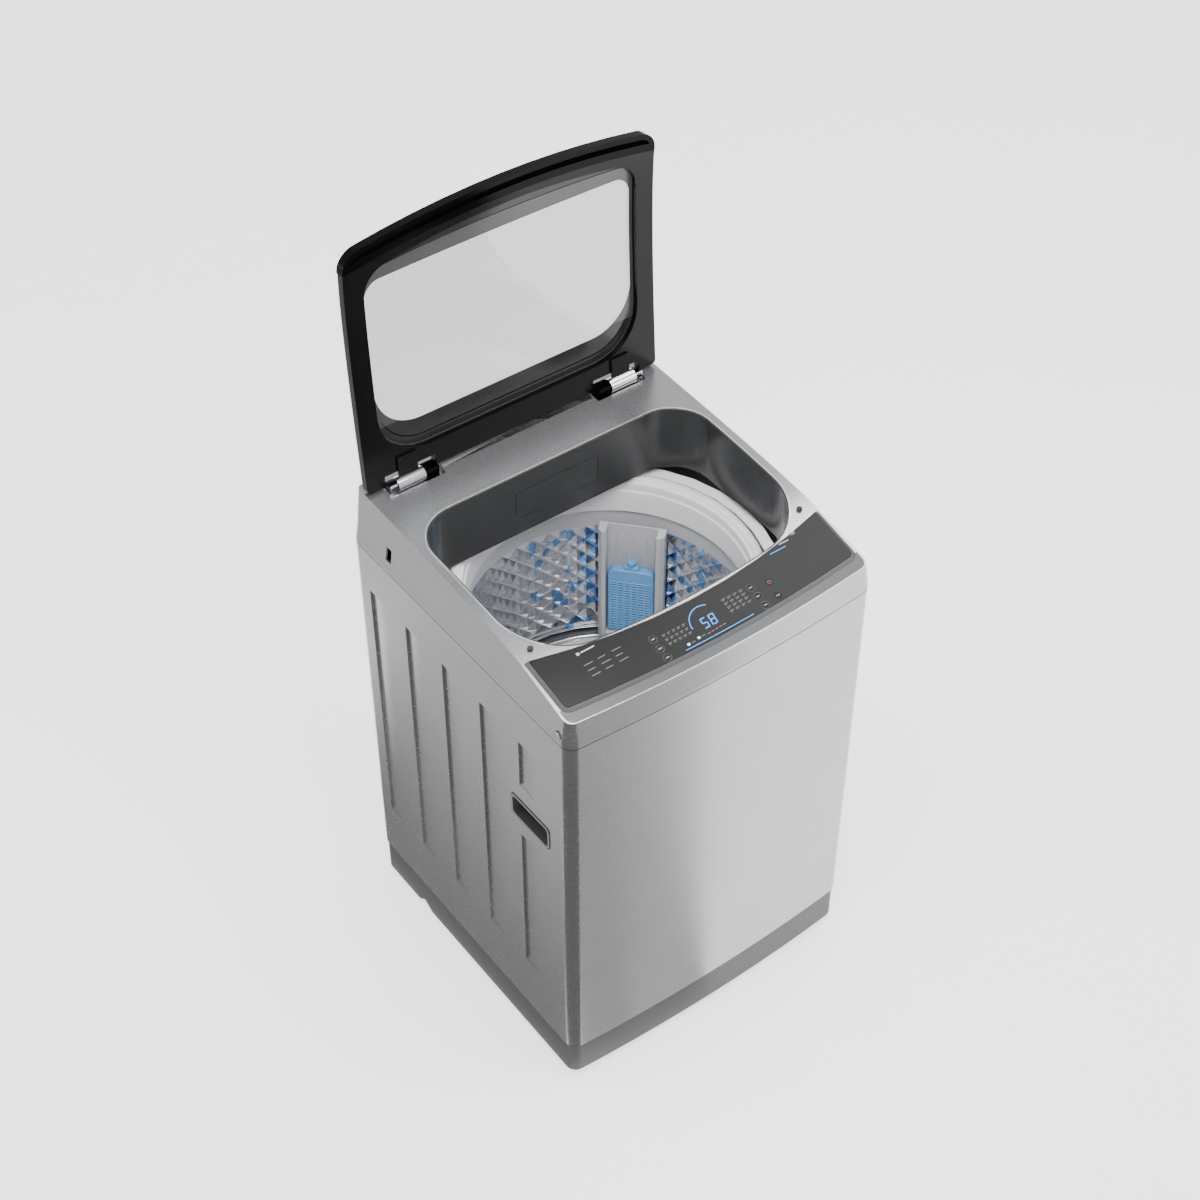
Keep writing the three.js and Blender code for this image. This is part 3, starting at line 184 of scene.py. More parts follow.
def shaped(piece, rule):
    """Moves every vertex as the rule says."""
    for vertex in piece.data.vertices:
        vertex.co = rule(vertex.co.copy())
    return piece


def copied(piece, name, shift):
    """A copy with a mesh of its own, moved by a shift in millimetres."""
    other = piece.copy()
    other.data = piece.data.copy()
    other.name = name
    bpy.context.collection.objects.link(other)
    other.data.transform(Matrix.Translation(Vector(shift) * MM))
    return other


def joined(first, *others):
    clear()
    for other in others:
        other.select_set(True)
    first.select_set(True)
    bpy.context.view_layer.objects.active = first
    bpy.ops.object.join()
    return first


# ---------------------------------------------------------------- starting shapes
def block(name, low, high, width=0.0, segments=3):
    clear()
    low, high = Vector(low) * MM, Vector(high) * MM
    bpy.ops.mesh.primitive_cube_add(size=1)
    piece = bpy.context.object
    piece.name = name
    work(piece)
    bpy.ops.transform.resize(value=high - low, center_override=(0, 0, 0))
    bpy.ops.transform.translate(value=(low + high) / 2)
    rest_hands(piece, tidy=False)
    return soften(piece, width, segments) if width else piece


def bar(name, radius, start, end, sides=32, width=0.0, segments=2):
    clear()
    start, end = Vector(start) * MM, Vector(end) * MM
    span = end - start
    bpy.ops.mesh.primitive_cylinder_add(vertices=sides, radius=radius * MM, depth=span.length)
    piece = bpy.context.object
    piece.name = name
    turn = Vector((0, 0, 1)).rotation_difference(span).to_matrix().to_4x4()
    piece.data.transform(Matrix.Translation((start + end) / 2) @ turn)
    return soften(piece, width, segments) if width else piece


def chain(name, points, closed=True):
    """A line of vertices drawn one after another through the points."""
    clear()
    bpy.ops.mesh.primitive_plane_add(size=MM)
    piece = bpy.context.object
    piece.name = name
    work(piece)
    bpy.ops.mesh.merge(type="CENTER")
    here = Vector(points[0])
    bpy.ops.transform.translate(value=here)
    for point in points[1:]:
        step = Vector(point) - here
        bpy.ops.mesh.extrude_vertices_move(TRANSFORM_OT_translate={"value": step})
        here = Vector(point)
    if closed:
        first = Vector(points[0])
        pick("VERT", lambda v: (v.co - first).length < 1e-7 or (v.co - here).length < 1e-7)
        bpy.ops.mesh.edge_face_add()
    return piece


def turned(name, profile, steps=96, closed=True):
    """A profile of [radius, height] in millimetres, spun about the machine's axis."""
    piece = chain(name, [(r * MM, 0, z * MM) for r, z in profile], closed)
    bpy.ops.mesh.select_mode(type="EDGE")
    bpy.ops.mesh.select_all(action="SELECT")
    bpy.ops.mesh.spin(steps=steps, angle=2 * math.pi, center=(0, 0, 0), axis=(0, 0, 1))
    return rest_hands(piece)


def slab(name, points, low, high, axis="Z"):
    """A closed outline pushed from low to high; the points lie across that axis."""
    lay = {"X": lambda a, b, c: (c, a, b), "Z": lambda a, b, c: (a, b, c)}[axis]
    piece = chain(name, [lay(a, b, low) for a, b in points])
    bpy.ops.mesh.select_all(action="SELECT")
    bpy.ops.mesh.edge_face_add()
    push(*lay(0, 0, high - low))
    return rest_hands(piece)


BOW_CUTS = 30                       # enough for a bowed edge to look smooth


def outline(name, half, front, back, z, front_r, back_r, front_bow=0.0, back_bow=0.0, corner=10):
    """A flat face with round corners, whose front and back edges may bow towards -Y."""
    clear()
    bpy.ops.mesh.primitive_plane_add(size=2)
    piece = bpy.context.object
    piece.name = name
    middle = (front + back) / 2
    work(piece)
    bpy.ops.transform.resize(value=(half, (back - front) / 2, 1), center_override=(0, 0, 0))
    bpy.ops.transform.translate(value=(0, middle, z))
    for radius, behind in ((front_r, False), (back_r, True)):
        pick("VERT", lambda v: (v.co.y > middle) == behind)
        bpy.ops.mesh.bevel(offset=radius, segments=corner, affect="VERTICES")
    for line, bow in ((front, front_bow), (back, back_bow)):
        if bow:
            pick("EDGE", lambda e: all(abs(v.co.y - line) < 1e-6 for v in e.verts))
            bpy.ops.mesh.subdivide(number_cuts=BOW_CUTS)
    rest_hands(piece, tidy=False)

    def bowed(co):
        bow = front_bow if co.y < middle else back_bow
        co.y -= bow * (1 - (co.x / half) ** 2)
        return co

    return shaped(piece, bowed)


def raised(piece, height):
    work(piece)
    push(z=height)
    return rest_hands(piece)


def tube_wall(piece, height, thickness):
    """The outline's edge drawn up into a wall of the stated thickness, open above and below."""
    raised(piece, height)
    work(piece)
    pick("FACE", lambda f: abs(f.normal.z) > 0.9)
    bpy.ops.mesh.delete(type="FACE")
    rest_hands(piece)
    return modify(piece, "SOLIDIFY", thickness=thickness, offset=-1)


def cabinet_outline(name, z, inset=0.0):
    corner_r = CORNER_R - inset
    return outline(name, HALF - inset, FRONT + inset, REAR - inset, z, corner_r, corner_r, BOW)


def mouth_outline(name, z, inset=0.0):
    return outline(name, MOUTH_HALF - inset, MOUTH_FRONT + inset, MOUTH_BACK - inset, z,
                   MOUTH_FRONT_R - inset, MOUTH_BACK_R - inset, MOUTH_BOW, corner=18)


ASIDE = 500 * MM                    # well past the sides, for pieces that only cut


def deck_layer(name, low, high):
    """A layer that follows the deck, between two heights over it."""
    profile = [(y, z + high) for y, z in DECK]
    profile += [(y, z + low) for y, z in reversed(DECK)]
    return slab(name, profile, -ASIDE, ASIDE, "X")


# ---------------------------------------------------------------- finishes
def linear(colour):
    parts = [int(colour[i:i + 2], 16) / 255 for i in (1, 3, 5)]
    return tuple(p / 12.92 if p <= 0.04045 else ((p + 0.055) / 1.055) ** 2.4 for p in parts) + (1.0,)


def add(tree, kind, inputs=None, **settings):
    made = tree.nodes.new(kind)
    for key, value in settings.items():
        setattr(made, key, value)
    for key, value in (inputs or {}).items():
        if isinstance(value, bpy.types.NodeSocket):
            tree.links.new(value, made.inputs[key])
        else:
            made.inputs[key].default_value = value
    return made


def finish(name, dark, light, roughness, grain_mm, relief_mm, stretch=(1, 1, 1), broad_mm=90,
           uneven=0.05, **sockets):
    """A surface whose colour drifts between two close tones, with its own grain in relief and gloss."""
    material = bpy.data.materials.new(name)
    material.use_nodes = True
    tree = material.node_tree
    shader = tree.nodes["Principled BSDF"]
    place = add(tree, "ShaderNodeTexCoord").outputs["Object"]
    pulled = add(tree, "ShaderNodeMapping", {"Vector": place, "Scale": stretch}).outputs["Vector"]
    grain = add(tree, "ShaderNodeTexNoise", {"Vector": pulled, "Scale": 1 / (grain_mm * MM), "Detail": 2.0})
    if dark == light:
        shader.inputs["Base Color"].default_value = linear(dark)
    else:
        drift = add(tree, "ShaderNodeTexNoise", {"Vector": place, "Scale": 1 / (broad_mm * MM),
                                                 "Detail": 3.0})
        tone = add(tree, "ShaderNodeMix", {0: drift.outputs["Fac"], 6: linear(dark), 7: linear(light)},
                   data_type="RGBA")
        tree.links.new(tone.outputs[2], shader.inputs["Base Color"])
    if uneven:
        gloss = add(tree, "ShaderNodeMapRange", {"Value": grain.outputs["Fac"], "To Min": roughness - uneven,
                                                 "To Max": roughness + uneven})
        tree.links.new(gloss.outputs["Result"], shader.inputs["Roughness"])
    else:
        shader.inputs["Roughness"].default_value = roughness
    if relief_mm:
        relief = add(tree, "ShaderNodeBump", {"Height": grain.outputs["Fac"], "Distance": relief_mm * MM,
                                              "Strength": 0.6})
        tree.links.new(relief.outputs["Normal"], shader.inputs["Normal"])
    for key, value in sockets.items():
        shader.inputs[key.replace("_", " ")].default_value = value
    return material


# silver powder paint baked on steel: an even satin sheen that takes soft reflections; its flake, far
# below 0.1 mm, is too fine to show, and what shows of it is a drift in tone over about 90 mm
silver_paint = finish("painted_steel_silver_baked", "#a1a2a4", "#a7a8aa", 0.27, 4.0, 0.0001, uneven=0.01,
                      Metallic=0.85)
# the same silver sprayed on moulded ABS: as satin, a shade darker where it meets the steel
silver_moulding = finish("abs_sprayed_silver", "#a0a1a3", "#a6a7a9", 0.27, 3.0, 0.0001, uneven=0.01,
                         Metallic=0.85)
# talc-filled polypropylene from a spark-eroded mould: a dull dark grey with a texture about 1 mm across
plinth_moulding = finish("polypropylene_moulded_dark_grey", "#3b3c3e", "#444547", 0.5, 1.2, 0.03)
# ABS from a polished mould: a wet-looking dark grey whose reflections waver a little, over about 25 mm
collar_moulding = finish("abs_moulded_gloss_grey", "#282929", "#2e2f30", 0.2, 25.0, 0.01, uneven=0.03,
                         Specular_IOR_Level=0.35)
# ABS from a mirror mould, piano black: deep black broken only by thin sharp highlights
black_moulding = finish("abs_moulded_gloss_black", "#030303", "#050505", 0.12, 30.0, 0.01, uneven=0.03,
                        Specular_IOR_Level=0.05)
# ABS from a finely polished mould: near black, softer than the bar in front of it
lid_moulding = finish("abs_moulded_polished_black", "#060606", "#090909", 0.22, 30.0, 0.002, uneven=0.02,
                      Specular_IOR_Level=0.15)
# ABS sprayed graphite: a mid grey with a slight metal sheen that sets off the dark film
panel_trim = finish("abs_moulded_gloss_trim", "#3f4042", "#48494b", 0.32, 3.0, 0.002, Metallic=0.3)
# ABS sprayed silver, painted brighter than the deck as the highlight on the mouth's rim: a thin light line
# all round the mouth
rim_highlight_paint = finish("abs_sprayed_silver_painted_highlight", "#c9cacc", "#d2d3d5", 0.2, 3.0, 0.002, uneven=0.02,
                      Metallic=0.8)
# smoked polycarbonate film, printed black on its back: one flat dark field, a little blurred
smoked_film = finish("polycarbonate_film_smoked", "#0b0b0c", "#101111", 0.3, 2.0, 0.0002, uneven=0.02,
                     broad_mm=260, Specular_IOR_Level=0.2)
# the same film domed over a key: blacker, so that each key can just be told from the field
key_film = finish("polycarbonate_film_key", "#0f0f10", "#161617", 0.4, 1.0, 0.004, uneven=0.03,
                  Specular_IOR_Level=0.2)
# polished and chromed steel: white and black streaks along the barrels
chrome = finish("steel_chromed_polished", "#d6d7d9", "#e3e4e6", 0.1, 8.0, 0.006, uneven=0.03, Metallic=1.0)
# pressed stainless: bright metal, its rolling lines drawn twelve times longer than wide
stainless = finish("stainless_steel_pressed", "#b2b3b6", "#c6c7ca", 0.2, 1.5, 0.02, stretch=(1, 1, 12),
                   uneven=0.06, Metallic=1.0)
# moulded polypropylene, pale grey: a milky white with a soft gloss along its ridges
ring_moulding = finish("polypropylene_moulded_pale_grey", "#cfcfd1", "#dcdcde", 0.3, 2.5, 0.01,
                       Coat_Weight=0.2, Coat_Roughness=0.2)
# the same resin, painted a step darker as the shade under the ring, so that the skirt sits back under it
skirt_moulding_painted_shade = finish("polypropylene_moulded_pale_grey_painted_shade", "#adadb1", "#b6b6ba", 0.3, 2.5, 0.01)
# unfilled polypropylene: cloudy and slightly see-through, cool grey
housing_moulding = finish("polypropylene_moulded_translucent", "#b6b6ba", "#c4c4c8", 0.24, 6.0, 0.01,
                          Transmission_Weight=0.12, IOR=1.49)
# polypropylene coloured in the mass: a clean light blue with a fine matt skin
filter_moulding = finish("polypropylene_moulded_blue", "#4f8bc4", "#6aa3d4", 0.34, 1.5, 0.015)
# woven nylon: a dark blue floor behind each slot, painted darker still as the shade in the slots; its
# threads, 0.2 mm, are drawn at 0.8 to show at all
filter_shade = finish("nylon_woven_blue_mesh_painted_shade", "#173e70", "#1f4c82", 0.6, 0.8, 0.08)
# uncoloured polypropylene: a waxy off-white
white_moulding = finish("polypropylene_moulded_natural", "#dadad6", "#e6e6e3", 0.45, 1.5, 0.03)
# hot-dip galvanised sheet: grey zinc spangle about 25 mm across, some of it duller
zinc_steel = finish("steel_galvanised_sheet", "#9a9ca0", "#b0b2b5", 0.38, 12.0, 0.02, broad_mm=25,
                    Metallic=1.0, uneven=0.1)
# die-cast aluminium: a sandy, dull light grey
cast_alloy = finish("aluminium_die_cast", "#97999b", "#a9abad", 0.5, 1.5, 0.08, Metallic=1.0)
# moulded rubber: soft black without a highlight
rubber = finish("rubber_moulded_black", "#1c1c1d", "#272728", 0.8, 0.8, 0.05)
# epoxy and glass cloth: green, mottled over about 12 mm
laminate = finish("glass_fibre_laminate_green", "#245839", "#30704a", 0.45, 2.0, 0.03, broad_mm=12)
# screen-printed inks: flat matt marks on the gloss of the film, white, grey and red
print_white = finish("ink_screen_printed_white", "#a6a8aa", "#b4b6b8", 0.5, 0.6, 0.004)
print_grey = finish("ink_screen_printed_grey", "#5a5c5f", "#66686b", 0.5, 0.6, 0.004)
print_red = finish("ink_screen_printed_red", "#8e3f4a", "#a34a56", 0.5, 0.6, 0.004)


def lamp_finish(name, colour, strength):
    """A lit lens of one even colour."""
    material = finish(name, colour, colour, 0.4, 1.0, 0.004)
    shader = material.node_tree.nodes["Principled BSDF"]
    shader.inputs["Emission Color"].default_value = linear(colour)
    shader.inputs["Emission Strength"].default_value = strength
    return material


# diodes behind the film: a cool glow that stays readable in the studio's light
display_blue = lamp_finish("display_segment_lit_blue", "#2487dc", 0.35)
display_mint = lamp_finish("display_lamp_lit_mint", "#86e4ee", 0.9)
# toughened soda-lime glass, curved: clear with a slight grey cast and one clean reflection
window_glass = finish("glass_toughened_curved", "#bcbebf", "#c1c3c4", 0.01, 60.0, 0.0, uneven=0.0,
                      Transmission_Weight=1.0, IOR=1.5)
# ceramic ink fired on the glass: a smooth black border as glossy as the glass itself
frit_black = finish("ceramic_ink_fired_black", "#1b1b1c", "#212122", 0.16, 2.0, 0.004, uneven=0.04,
                    Specular_IOR_Level=0.35)
# acrylic ink: a grey band, one step lighter than the border
band_grey = finish("acrylic_printed_grey_band", "#2f2f30", "#363637", 0.25, 2.0, 0.004, uneven=0.04)


def fit(piece, body, material, slot, *nodes, smooth=32):
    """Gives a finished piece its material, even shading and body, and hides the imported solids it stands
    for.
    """
    take(piece)
    piece.data.materials.clear()
    piece.data.materials.append(material)
    bpy.ops.object.shade_smooth_by_angle(angle=math.radians(smooth))
    modify(piece, "WEIGHTED_NORMAL", mode="FACE_AREA", weight=90, keep_sharp=True)
    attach(piece, body)
    if nodes:
        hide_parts(*nodes)
    return piece


# ---------------------------------------------------------------- camera, light and floor
# the camera looks down on the front left corner
LOOK_DOWN, LOOK_ROUND = math.radians(43.65), math.radians(36.74)
camera_data = bpy.data.cameras.new("camera")
camera = bpy.data.objects.new("camera", camera_data)
bpy.context.scene.collection.objects.link(camera)
bpy.context.scene.camera = camera
camera_data.lens = 66.17
camera_data.sensor_width = 36.0
camera_data.clip_end = 50.0
camera.location = (-1.6493, -2.1846, 3.3970)
camera.rotation_euler = (math.pi / 2 - LOOK_DOWN, 0, -LOOK_ROUND)


def softbox(name, at, aim, width, height, power):
    """A flat lamp aimed at a point; sizes in metres, power in watts."""
    data = bpy.data.lights.new(name, "AREA")
    data.shape = "RECTANGLE"
    data.size, data.size_y = width, height
    data.energy = power
    lamp = bpy.data.objects.new(name, data)
    bpy.context.scene.collection.objects.link(lamp)
    lamp.location = at
    lamp.rotation_euler = (Vector(aim) - Vector(at)).to_track_quat("-Z", "Y").to_euler()


softbox("key_right", (2.8, -2.4, 2.2), (0, 0, 0.6), 2.2, 2.8, 70)
softbox("top_rear", (-1.6, 1.4, 3.2), (0, 0, 0.9), 1.8, 1.6, 18)
softbox("panel_light", (1.35, 0.1, 2.7), (0.2, -0.2, 0.9), 0.8, 0.9, 14)
softbox("fill_left", (-3.2, 0.6, 2.0), (0, 0, 0.6), 1.6, 2.2, 25)
softbox("mouth_light", (-0.15, -0.35, 1.75), (0.05, 0.05, 0.6), 0.5, 0.5, 18)

world = bpy.data.worlds.new("studio")
bpy.context.scene.world = world
world.use_nodes = True
backdrop = world.node_tree.nodes["Background"]
backdrop.inputs["Color"].default_value = (1, 1, 1, 1)
backdrop.inputs["Strength"].default_value = 1.0

FLOOR_SPAN = 9000                   # mm to each side
floor = block("studio_floor", (-FLOOR_SPAN, -FLOOR_SPAN, -20), (FLOOR_SPAN, FLOOR_SPAN, 0), 4)
# matt white paint, lit a little from within so that it stays pale under the machine's shadow
floor_paint = finish("studio_floor_matt_white", "#f8f8f8", "#fbfbfb", 0.9, 40.0, 0.01)
floor_shader = floor_paint.node_tree.nodes["Principled BSDF"]
floor_shader.inputs["Emission Color"].default_value = (1, 1, 1, 1)
floor_shader.inputs["Emission Strength"].default_value = 1.5
floor.data.materials.append(floor_paint)


def card(name, points, grey):
    """A card on the floor that shows only as a reflection in the paint, of one even brightness."""
    piece = slab(name, points, 1 * MM, 2 * MM)
    face = finish(name + "_matt", "#000000", "#020202", 0.9, 40.0, 0.0)
    shader = face.node_tree.nodes["Principled BSDF"]
    shader.inputs["Specular IOR Level"].default_value = 0.0
    shader.inputs["Emission Color"].default_value = linear(grey)
    shader.inputs["Emission Strength"].default_value = 1.0
    piece.data.materials.append(face)
    for kind in ("camera", "diffuse", "shadow", "transmission"):
        setattr(piece, "visible_" + kind, False)


# a black flag off the front left corner shows in that corner alone; greys fall off along the sides
card("studio_flag_corner", [(-0.322, -0.325), (-0.6, -0.12), (-1.5, 0.3), (-4.2, 1.1), (-4.4, -2.4),
                            (-2.2, -4.2), (0.75, -3.4), (-0.29, -0.345)], "#020202")
card("studio_card_side_near", [(-0.322, 0.5), (-0.322, -0.31), (-0.46, -0.2), (-0.46, 0.7)], "#7c7c7c")
card("studio_card_side_middle", [(-0.46, 0.7), (-0.46, -0.2), (-0.62, -0.1), (-0.62, 0.9)], "#a4a4a4")
card("studio_card_side_far", [(-0.62, 1.6), (-0.62, -0.09), (-1.5, 0.32), (-4.0, 1.1), (-5.0, 4.0),
                              (-1.0, 4.0)], "#fafafa")
card("studio_card_front_near", [(-0.28, -0.345), (-0.17, -0.345), (1.5, -3.3), (0.78, -3.4)], "#c8c8c8")
card("studio_card_front_far", [(-0.17, -0.345), (0.0, -0.345), (2.0, -3.25), (1.5, -3.3)], "#f0f0f0")


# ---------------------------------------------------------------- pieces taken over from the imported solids
def refined(node, material, slot, width=0.8, smooth=32):
    """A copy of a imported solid, merged, cleared of its flat seams and given softened edges."""
    source = frame["nodes"][node]
    piece = bpy.data.objects.new(node + "_moulded", source.data.copy())
    bpy.context.scene.collection.objects.link(piece)
    work(piece)
    bpy.ops.mesh.customdata_custom_splitnormals_clear()
    bpy.ops.mesh.remove_doubles(threshold=0.01 * MM)
    bpy.ops.mesh.dissolve_limited(angle_limit=math.radians(0.4))
    bpy.ops.object.mode_set(mode="OBJECT")
    soften(piece, width, 2)
    return fit(piece, source["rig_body"], material, slot, node, smooth=smooth)


def carried(node, material):
    """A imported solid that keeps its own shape."""
    mesh = frame["nodes"][node].data
    for index in range(len(mesh.materials)):
        mesh.materials[index] = material
    if not mesh.materials:
        mesh.materials.append(material)


for node, material in {
    "drain_hose": rubber, "drive_belt": rubber, "motor": zinc_steel, "motor_pulley": cast_alloy,
    "drive_pulley": cast_alloy, "bearing_housing": cast_alloy, "mounting_plate": zinc_steel,
    "outer_tub": white_moulding, "tub_ring": white_moulding, "control_board": laminate,
    "drain_valve": plinth_moulding, "drive_shaft": stainless,
}.items():
    carried(node, material)
CORNERS = ("front_left", "front_right", "rear_left", "rear_right")
for corner in CORNERS:
    carried("suspension_rod_" + corner, zinc_steel)
    carried("damper_cup_" + corner, plinth_moulding)

refined("cabinet_shell", silver_paint, "painted_steel", 0.9)
refined("rear_panel", zinc_steel, "zinc_steel", 0.2)
refined("cord_gland", rubber, "rubber", 0.5)
refined("base_frame", plinth_moulding, "dark_plastic", 1.5)
refined("top_cover", silver_moulding, "silver_plastic", 1.2)
refined("collar", collar_moulding, "gloss_grey", 0.6)
refined("dispenser_housing", white_moulding, "white_plastic", 0.5)
refined("dispenser_drawer", collar_moulding, "gloss_grey", 0.5)
refined("inlet_valve", white_moulding, "white_plastic", 0.5)
refined("panel_bezel", panel_trim, "silver_plastic", 0.5, smooth=12)
refined("panel_film", smoked_film, "smoked_film", 0.2, smooth=4)
BARREL_R = 13.6 * MM                # chrome out to here, black on the arm beyond
SOCKET_END = 249.5 * MM             # the bracket's socket ends here and its chrome tab begins
for side in ("left", "right"):
    refined("handle_cup_" + side, plinth_moulding, "black_plastic", 0.8)
    refined("lid_bumper_" + side, rubber, "rubber", 0.8)
    barrel = refined("hinge_barrel_" + side, chrome, "chrome", 0.8)
    barrel.data.materials.append(lid_moulding)
    for face in barrel.data.polygons:
        if math.hypot(face.center.y - HINGE.y, face.center.z - HINGE.z) > BARREL_R:
            face.material_index = 1
    bracket = refined("hinge_bracket_" + side, black_moulding, "black_plastic", 0.8)
    bracket.data.materials.append(chrome)
    for face in bracket.data.polygons:
        if abs(face.center.x) > SOCKET_END:
            face.material_index = 1
    for row in ("top", "middle", "bottom"):
        refined("key_%s_%s" % (side, row), key_film, "key_film", 0.3)
for key in ("power", "start"):
    refined("key_" + key, key_film, "key_film", 0.3)
for corner in CORNERS:
    refined("foot_" + corner, rubber, "rubber", 0.8)
refined("lid_frame", lid_moulding, "gloss_grey", 0.8)
refined("lid_glass", window_glass, "glass", 0.5)
refined("lid_bar", black_moulding, "black_plastic", 1.5)
refined("basket_base", stainless, "stainless", 0.5)
refined("pulsator", housing_moulding, "white_plastic", 1.0)
refined("filter_housing", housing_moulding, "clear_plastic", 1.0)

# ---------------------------------------------------------------- basket wall, pressed into diamonds
wall_low, wall_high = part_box("basket_wall")
ring_low, ring_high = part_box("balance_ring")
MARGIN = 2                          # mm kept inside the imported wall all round
WALL_R = wall_high.x / MM - MARGIN
ROWS, AROUND = 7, 46
BAND = (wall_low.z / MM + 22, ring_low.z / MM - 44)     # the diamonds lie between these heights
DIAMOND_RISE = 7.0 * MM
SHEET = 0.8 * MM


def basket_skin():
    """A plain sheet wall whose middle band is divided into diamonds, each drawn up to a point."""
    levels = [wall_low.z / MM + MARGIN] + [BAND[0] + (BAND[1] - BAND[0]) * i / ROWS for i in range(ROWS + 1)]
    levels += [wall_high.z / MM - MARGIN]
    piece = turned("basket_wall_pressed", [(WALL_R, z) for z in levels], AROUND, closed=False)
    centre_face = piece.data.polygons[0]
    if centre_face.normal.dot(Vector((centre_face.center.x, centre_face.center.y, 0))) > 0:
        piece.data.flip_normals()
    work(piece)
    low, high = BAND[0] * MM - 1e-5, BAND[1] * MM + 1e-5
    pick("FACE", lambda f: all(low < v.co.z < high for v in f.verts))
    bpy.ops.mesh.poke(offset=0.0)
    step = (BAND[1] - BAND[0]) * MM / ROWS

    def on_level(vertex):
        place = (vertex.co.z - BAND[0] * MM) / step
        return abs(place - round(place)) < 0.1 and -0.1 < place < ROWS + 0.1

    pick("EDGE", lambda e: all(on_level(v) for v in e.verts)
         and low + 2e-5 < (e.verts[0].co.z + e.verts[1].co.z) / 2 < high - 2e-5)
    bpy.ops.mesh.dissolve_edges(use_verts=False)
    pick("FACE", lambda f: len(f.verts) == 4 and all(low < v.co.z < high for v in f.verts))
    bpy.ops.mesh.poke(offset=DIAMOND_RISE)
    bpy.ops.object.mode_set(mode="OBJECT")
    modify(piece, "SOLIDIFY", thickness=SHEET, offset=-1)
    soften(piece, 0.7, 2, 12)
    return fit(piece, "basket", basket_steel_painted_reflection, "stainless", "basket_wall", smooth=14)


filter_low, filter_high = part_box("filter_cartridge")
FILTER_AT = math.atan2(filter_low.y + filter_high.y, filter_low.x + filter_high.x)


def steel_with_painted_filter_reflection():
    """Bright stainless with a painted reflection: the blue filter moulding is painted into the base colour of
    the facets that stand beside it.
    """
    material = finish("stainless_steel_pressed_painted_filter_reflection", "#d6d7da", "#e8e9ec", 0.2, 1.5, 0.006,
                      uneven=0.05, Metallic=1.0)
    tree = material.node_tree
    shader = tree.nodes["Principled BSDF"]
    tone = shader.inputs["Base Color"].links[0].from_socket
    place = add(tree, "ShaderNodeTexCoord").outputs["Object"]
    turned_round = add(tree, "ShaderNodeMapping", {"Vector": place, "Rotation": (0, 0, -FILTER_AT)})
    parts = add(tree, "ShaderNodeSeparateXYZ", {"Vector": turned_round.outputs["Vector"]})
    sideways = add(tree, "ShaderNodeMath", {0: parts.outputs["Y"]}, operation="ABSOLUTE")
    # painted reflection of the filter: most of the facets 60 mm from the filter's middle are painted blue,
    # and none past 190 mm
    near = add(tree, "ShaderNodeMapRange", {"Value": sideways.outputs[0], "From Min": 60 * MM,
                                            "From Max": 190 * MM, "To Min": 0.55, "To Max": 0.0})
    same_side = add(tree, "ShaderNodeMath", {0: parts.outputs["X"], 1: 50 * MM}, operation="GREATER_THAN")
    # the painted reflection falls in patches about 14 mm across, the size of one facet
    reflection_patches = add(tree, "ShaderNodeTexVoronoi", {"Vector": place, "Scale": 1 / (14 * MM)})
    shown = add(tree, "ShaderNodeSeparateColor", {"Color": reflection_patches.outputs["Color"]})
    some = add(tree, "ShaderNodeMath", {0: shown.outputs["Red"], 1: near.outputs["Result"]},
               operation="LESS_THAN")
    both = add(tree, "ShaderNodeMath", {0: some.outputs[0], 1: same_side.outputs[0]}, operation="MULTIPLY")
    painted_reflection_weight = add(tree, "ShaderNodeMath", {0: both.outputs[0], 1: 0.85}, operation="MULTIPLY")
    # the filter's blue, painted into the steel's base colour as its reflection
    blue = add(tree, "ShaderNodeMix", {0: painted_reflection_weight.outputs[0], 6: tone, 7: linear("#6fa8e8")},
               data_type="RGBA")
    tree.links.new(blue.outputs[2], shader.inputs["Base Color"])
    return material


basket_steel_painted_reflection = steel_with_painted_filter_reflection()
basket_skin()

RING_R = ring_high.x / MM
RING_TOP = ring_high.z / MM
RING_FOOT = ring_low.z / MM
AROUND_RING = 144                   # steps round a turned ring
ring = turned("balance_ring_moulded", [
    (RING_R - 29, RING_FOOT + 0.5), (RING_R - 2, RING_FOOT + 0.5), (RING_R - 0.5, RING_FOOT + 8),
    (RING_R - 0.5, RING_TOP - 6), (RING_R - 3, RING_TOP - 1.5), (RING_R - 7, RING_TOP - 0.3),
    (RING_R - 13, RING_TOP - 0.3), (RING_R - 16, RING_TOP - 2), (RING_R - 18, RING_TOP - 6),
    (RING_R - 19.5, RING_TOP - 7), (RING_R - 22, RING_TOP - 7), (RING_R - 23.5, RING_TOP - 9),
    (RING_R - 24.5, RING_TOP - 22), (RING_R - 27, RING_TOP - 25), (RING_R - 27.6, RING_TOP - 29),
    (RING_R - 28.4, RING_TOP - 45)], AROUND_RING)
soften(ring, 1.4, 3, 14)
fit(ring, "basket", ring_moulding, "ring_plastic", "balance_ring", smooth=30)

# the plain band above the diamonds is faced with a moulded skirt that carries on from the ring, in the ring's
# pale resin painted darker as shade
skirt = turned("ring_skirt_moulded", [
    (WALL_R - 1.2, BAND[1] + 2), (WALL_R - 3.2, BAND[1] + 3), (WALL_R - 3.8, BAND[1] + 6),
    (WALL_R - 4.4, RING_FOOT - 0.6), (WALL_R - 1.2, RING_FOOT - 0.6)], AROUND_RING)
fit(skirt, "basket", skirt_moulding_painted_shade, "ring_plastic", smooth=40)


# ---------------------------------------------------------------- lint filter
def arc(cx, cy, radius, first, last, steps=8):
    turns = [math.radians(first + (last - first) * i / steps) for i in range(steps + 1)]
    return [(cx + radius * math.cos(turn), cy + radius * math.sin(turn)) for turn in turns]


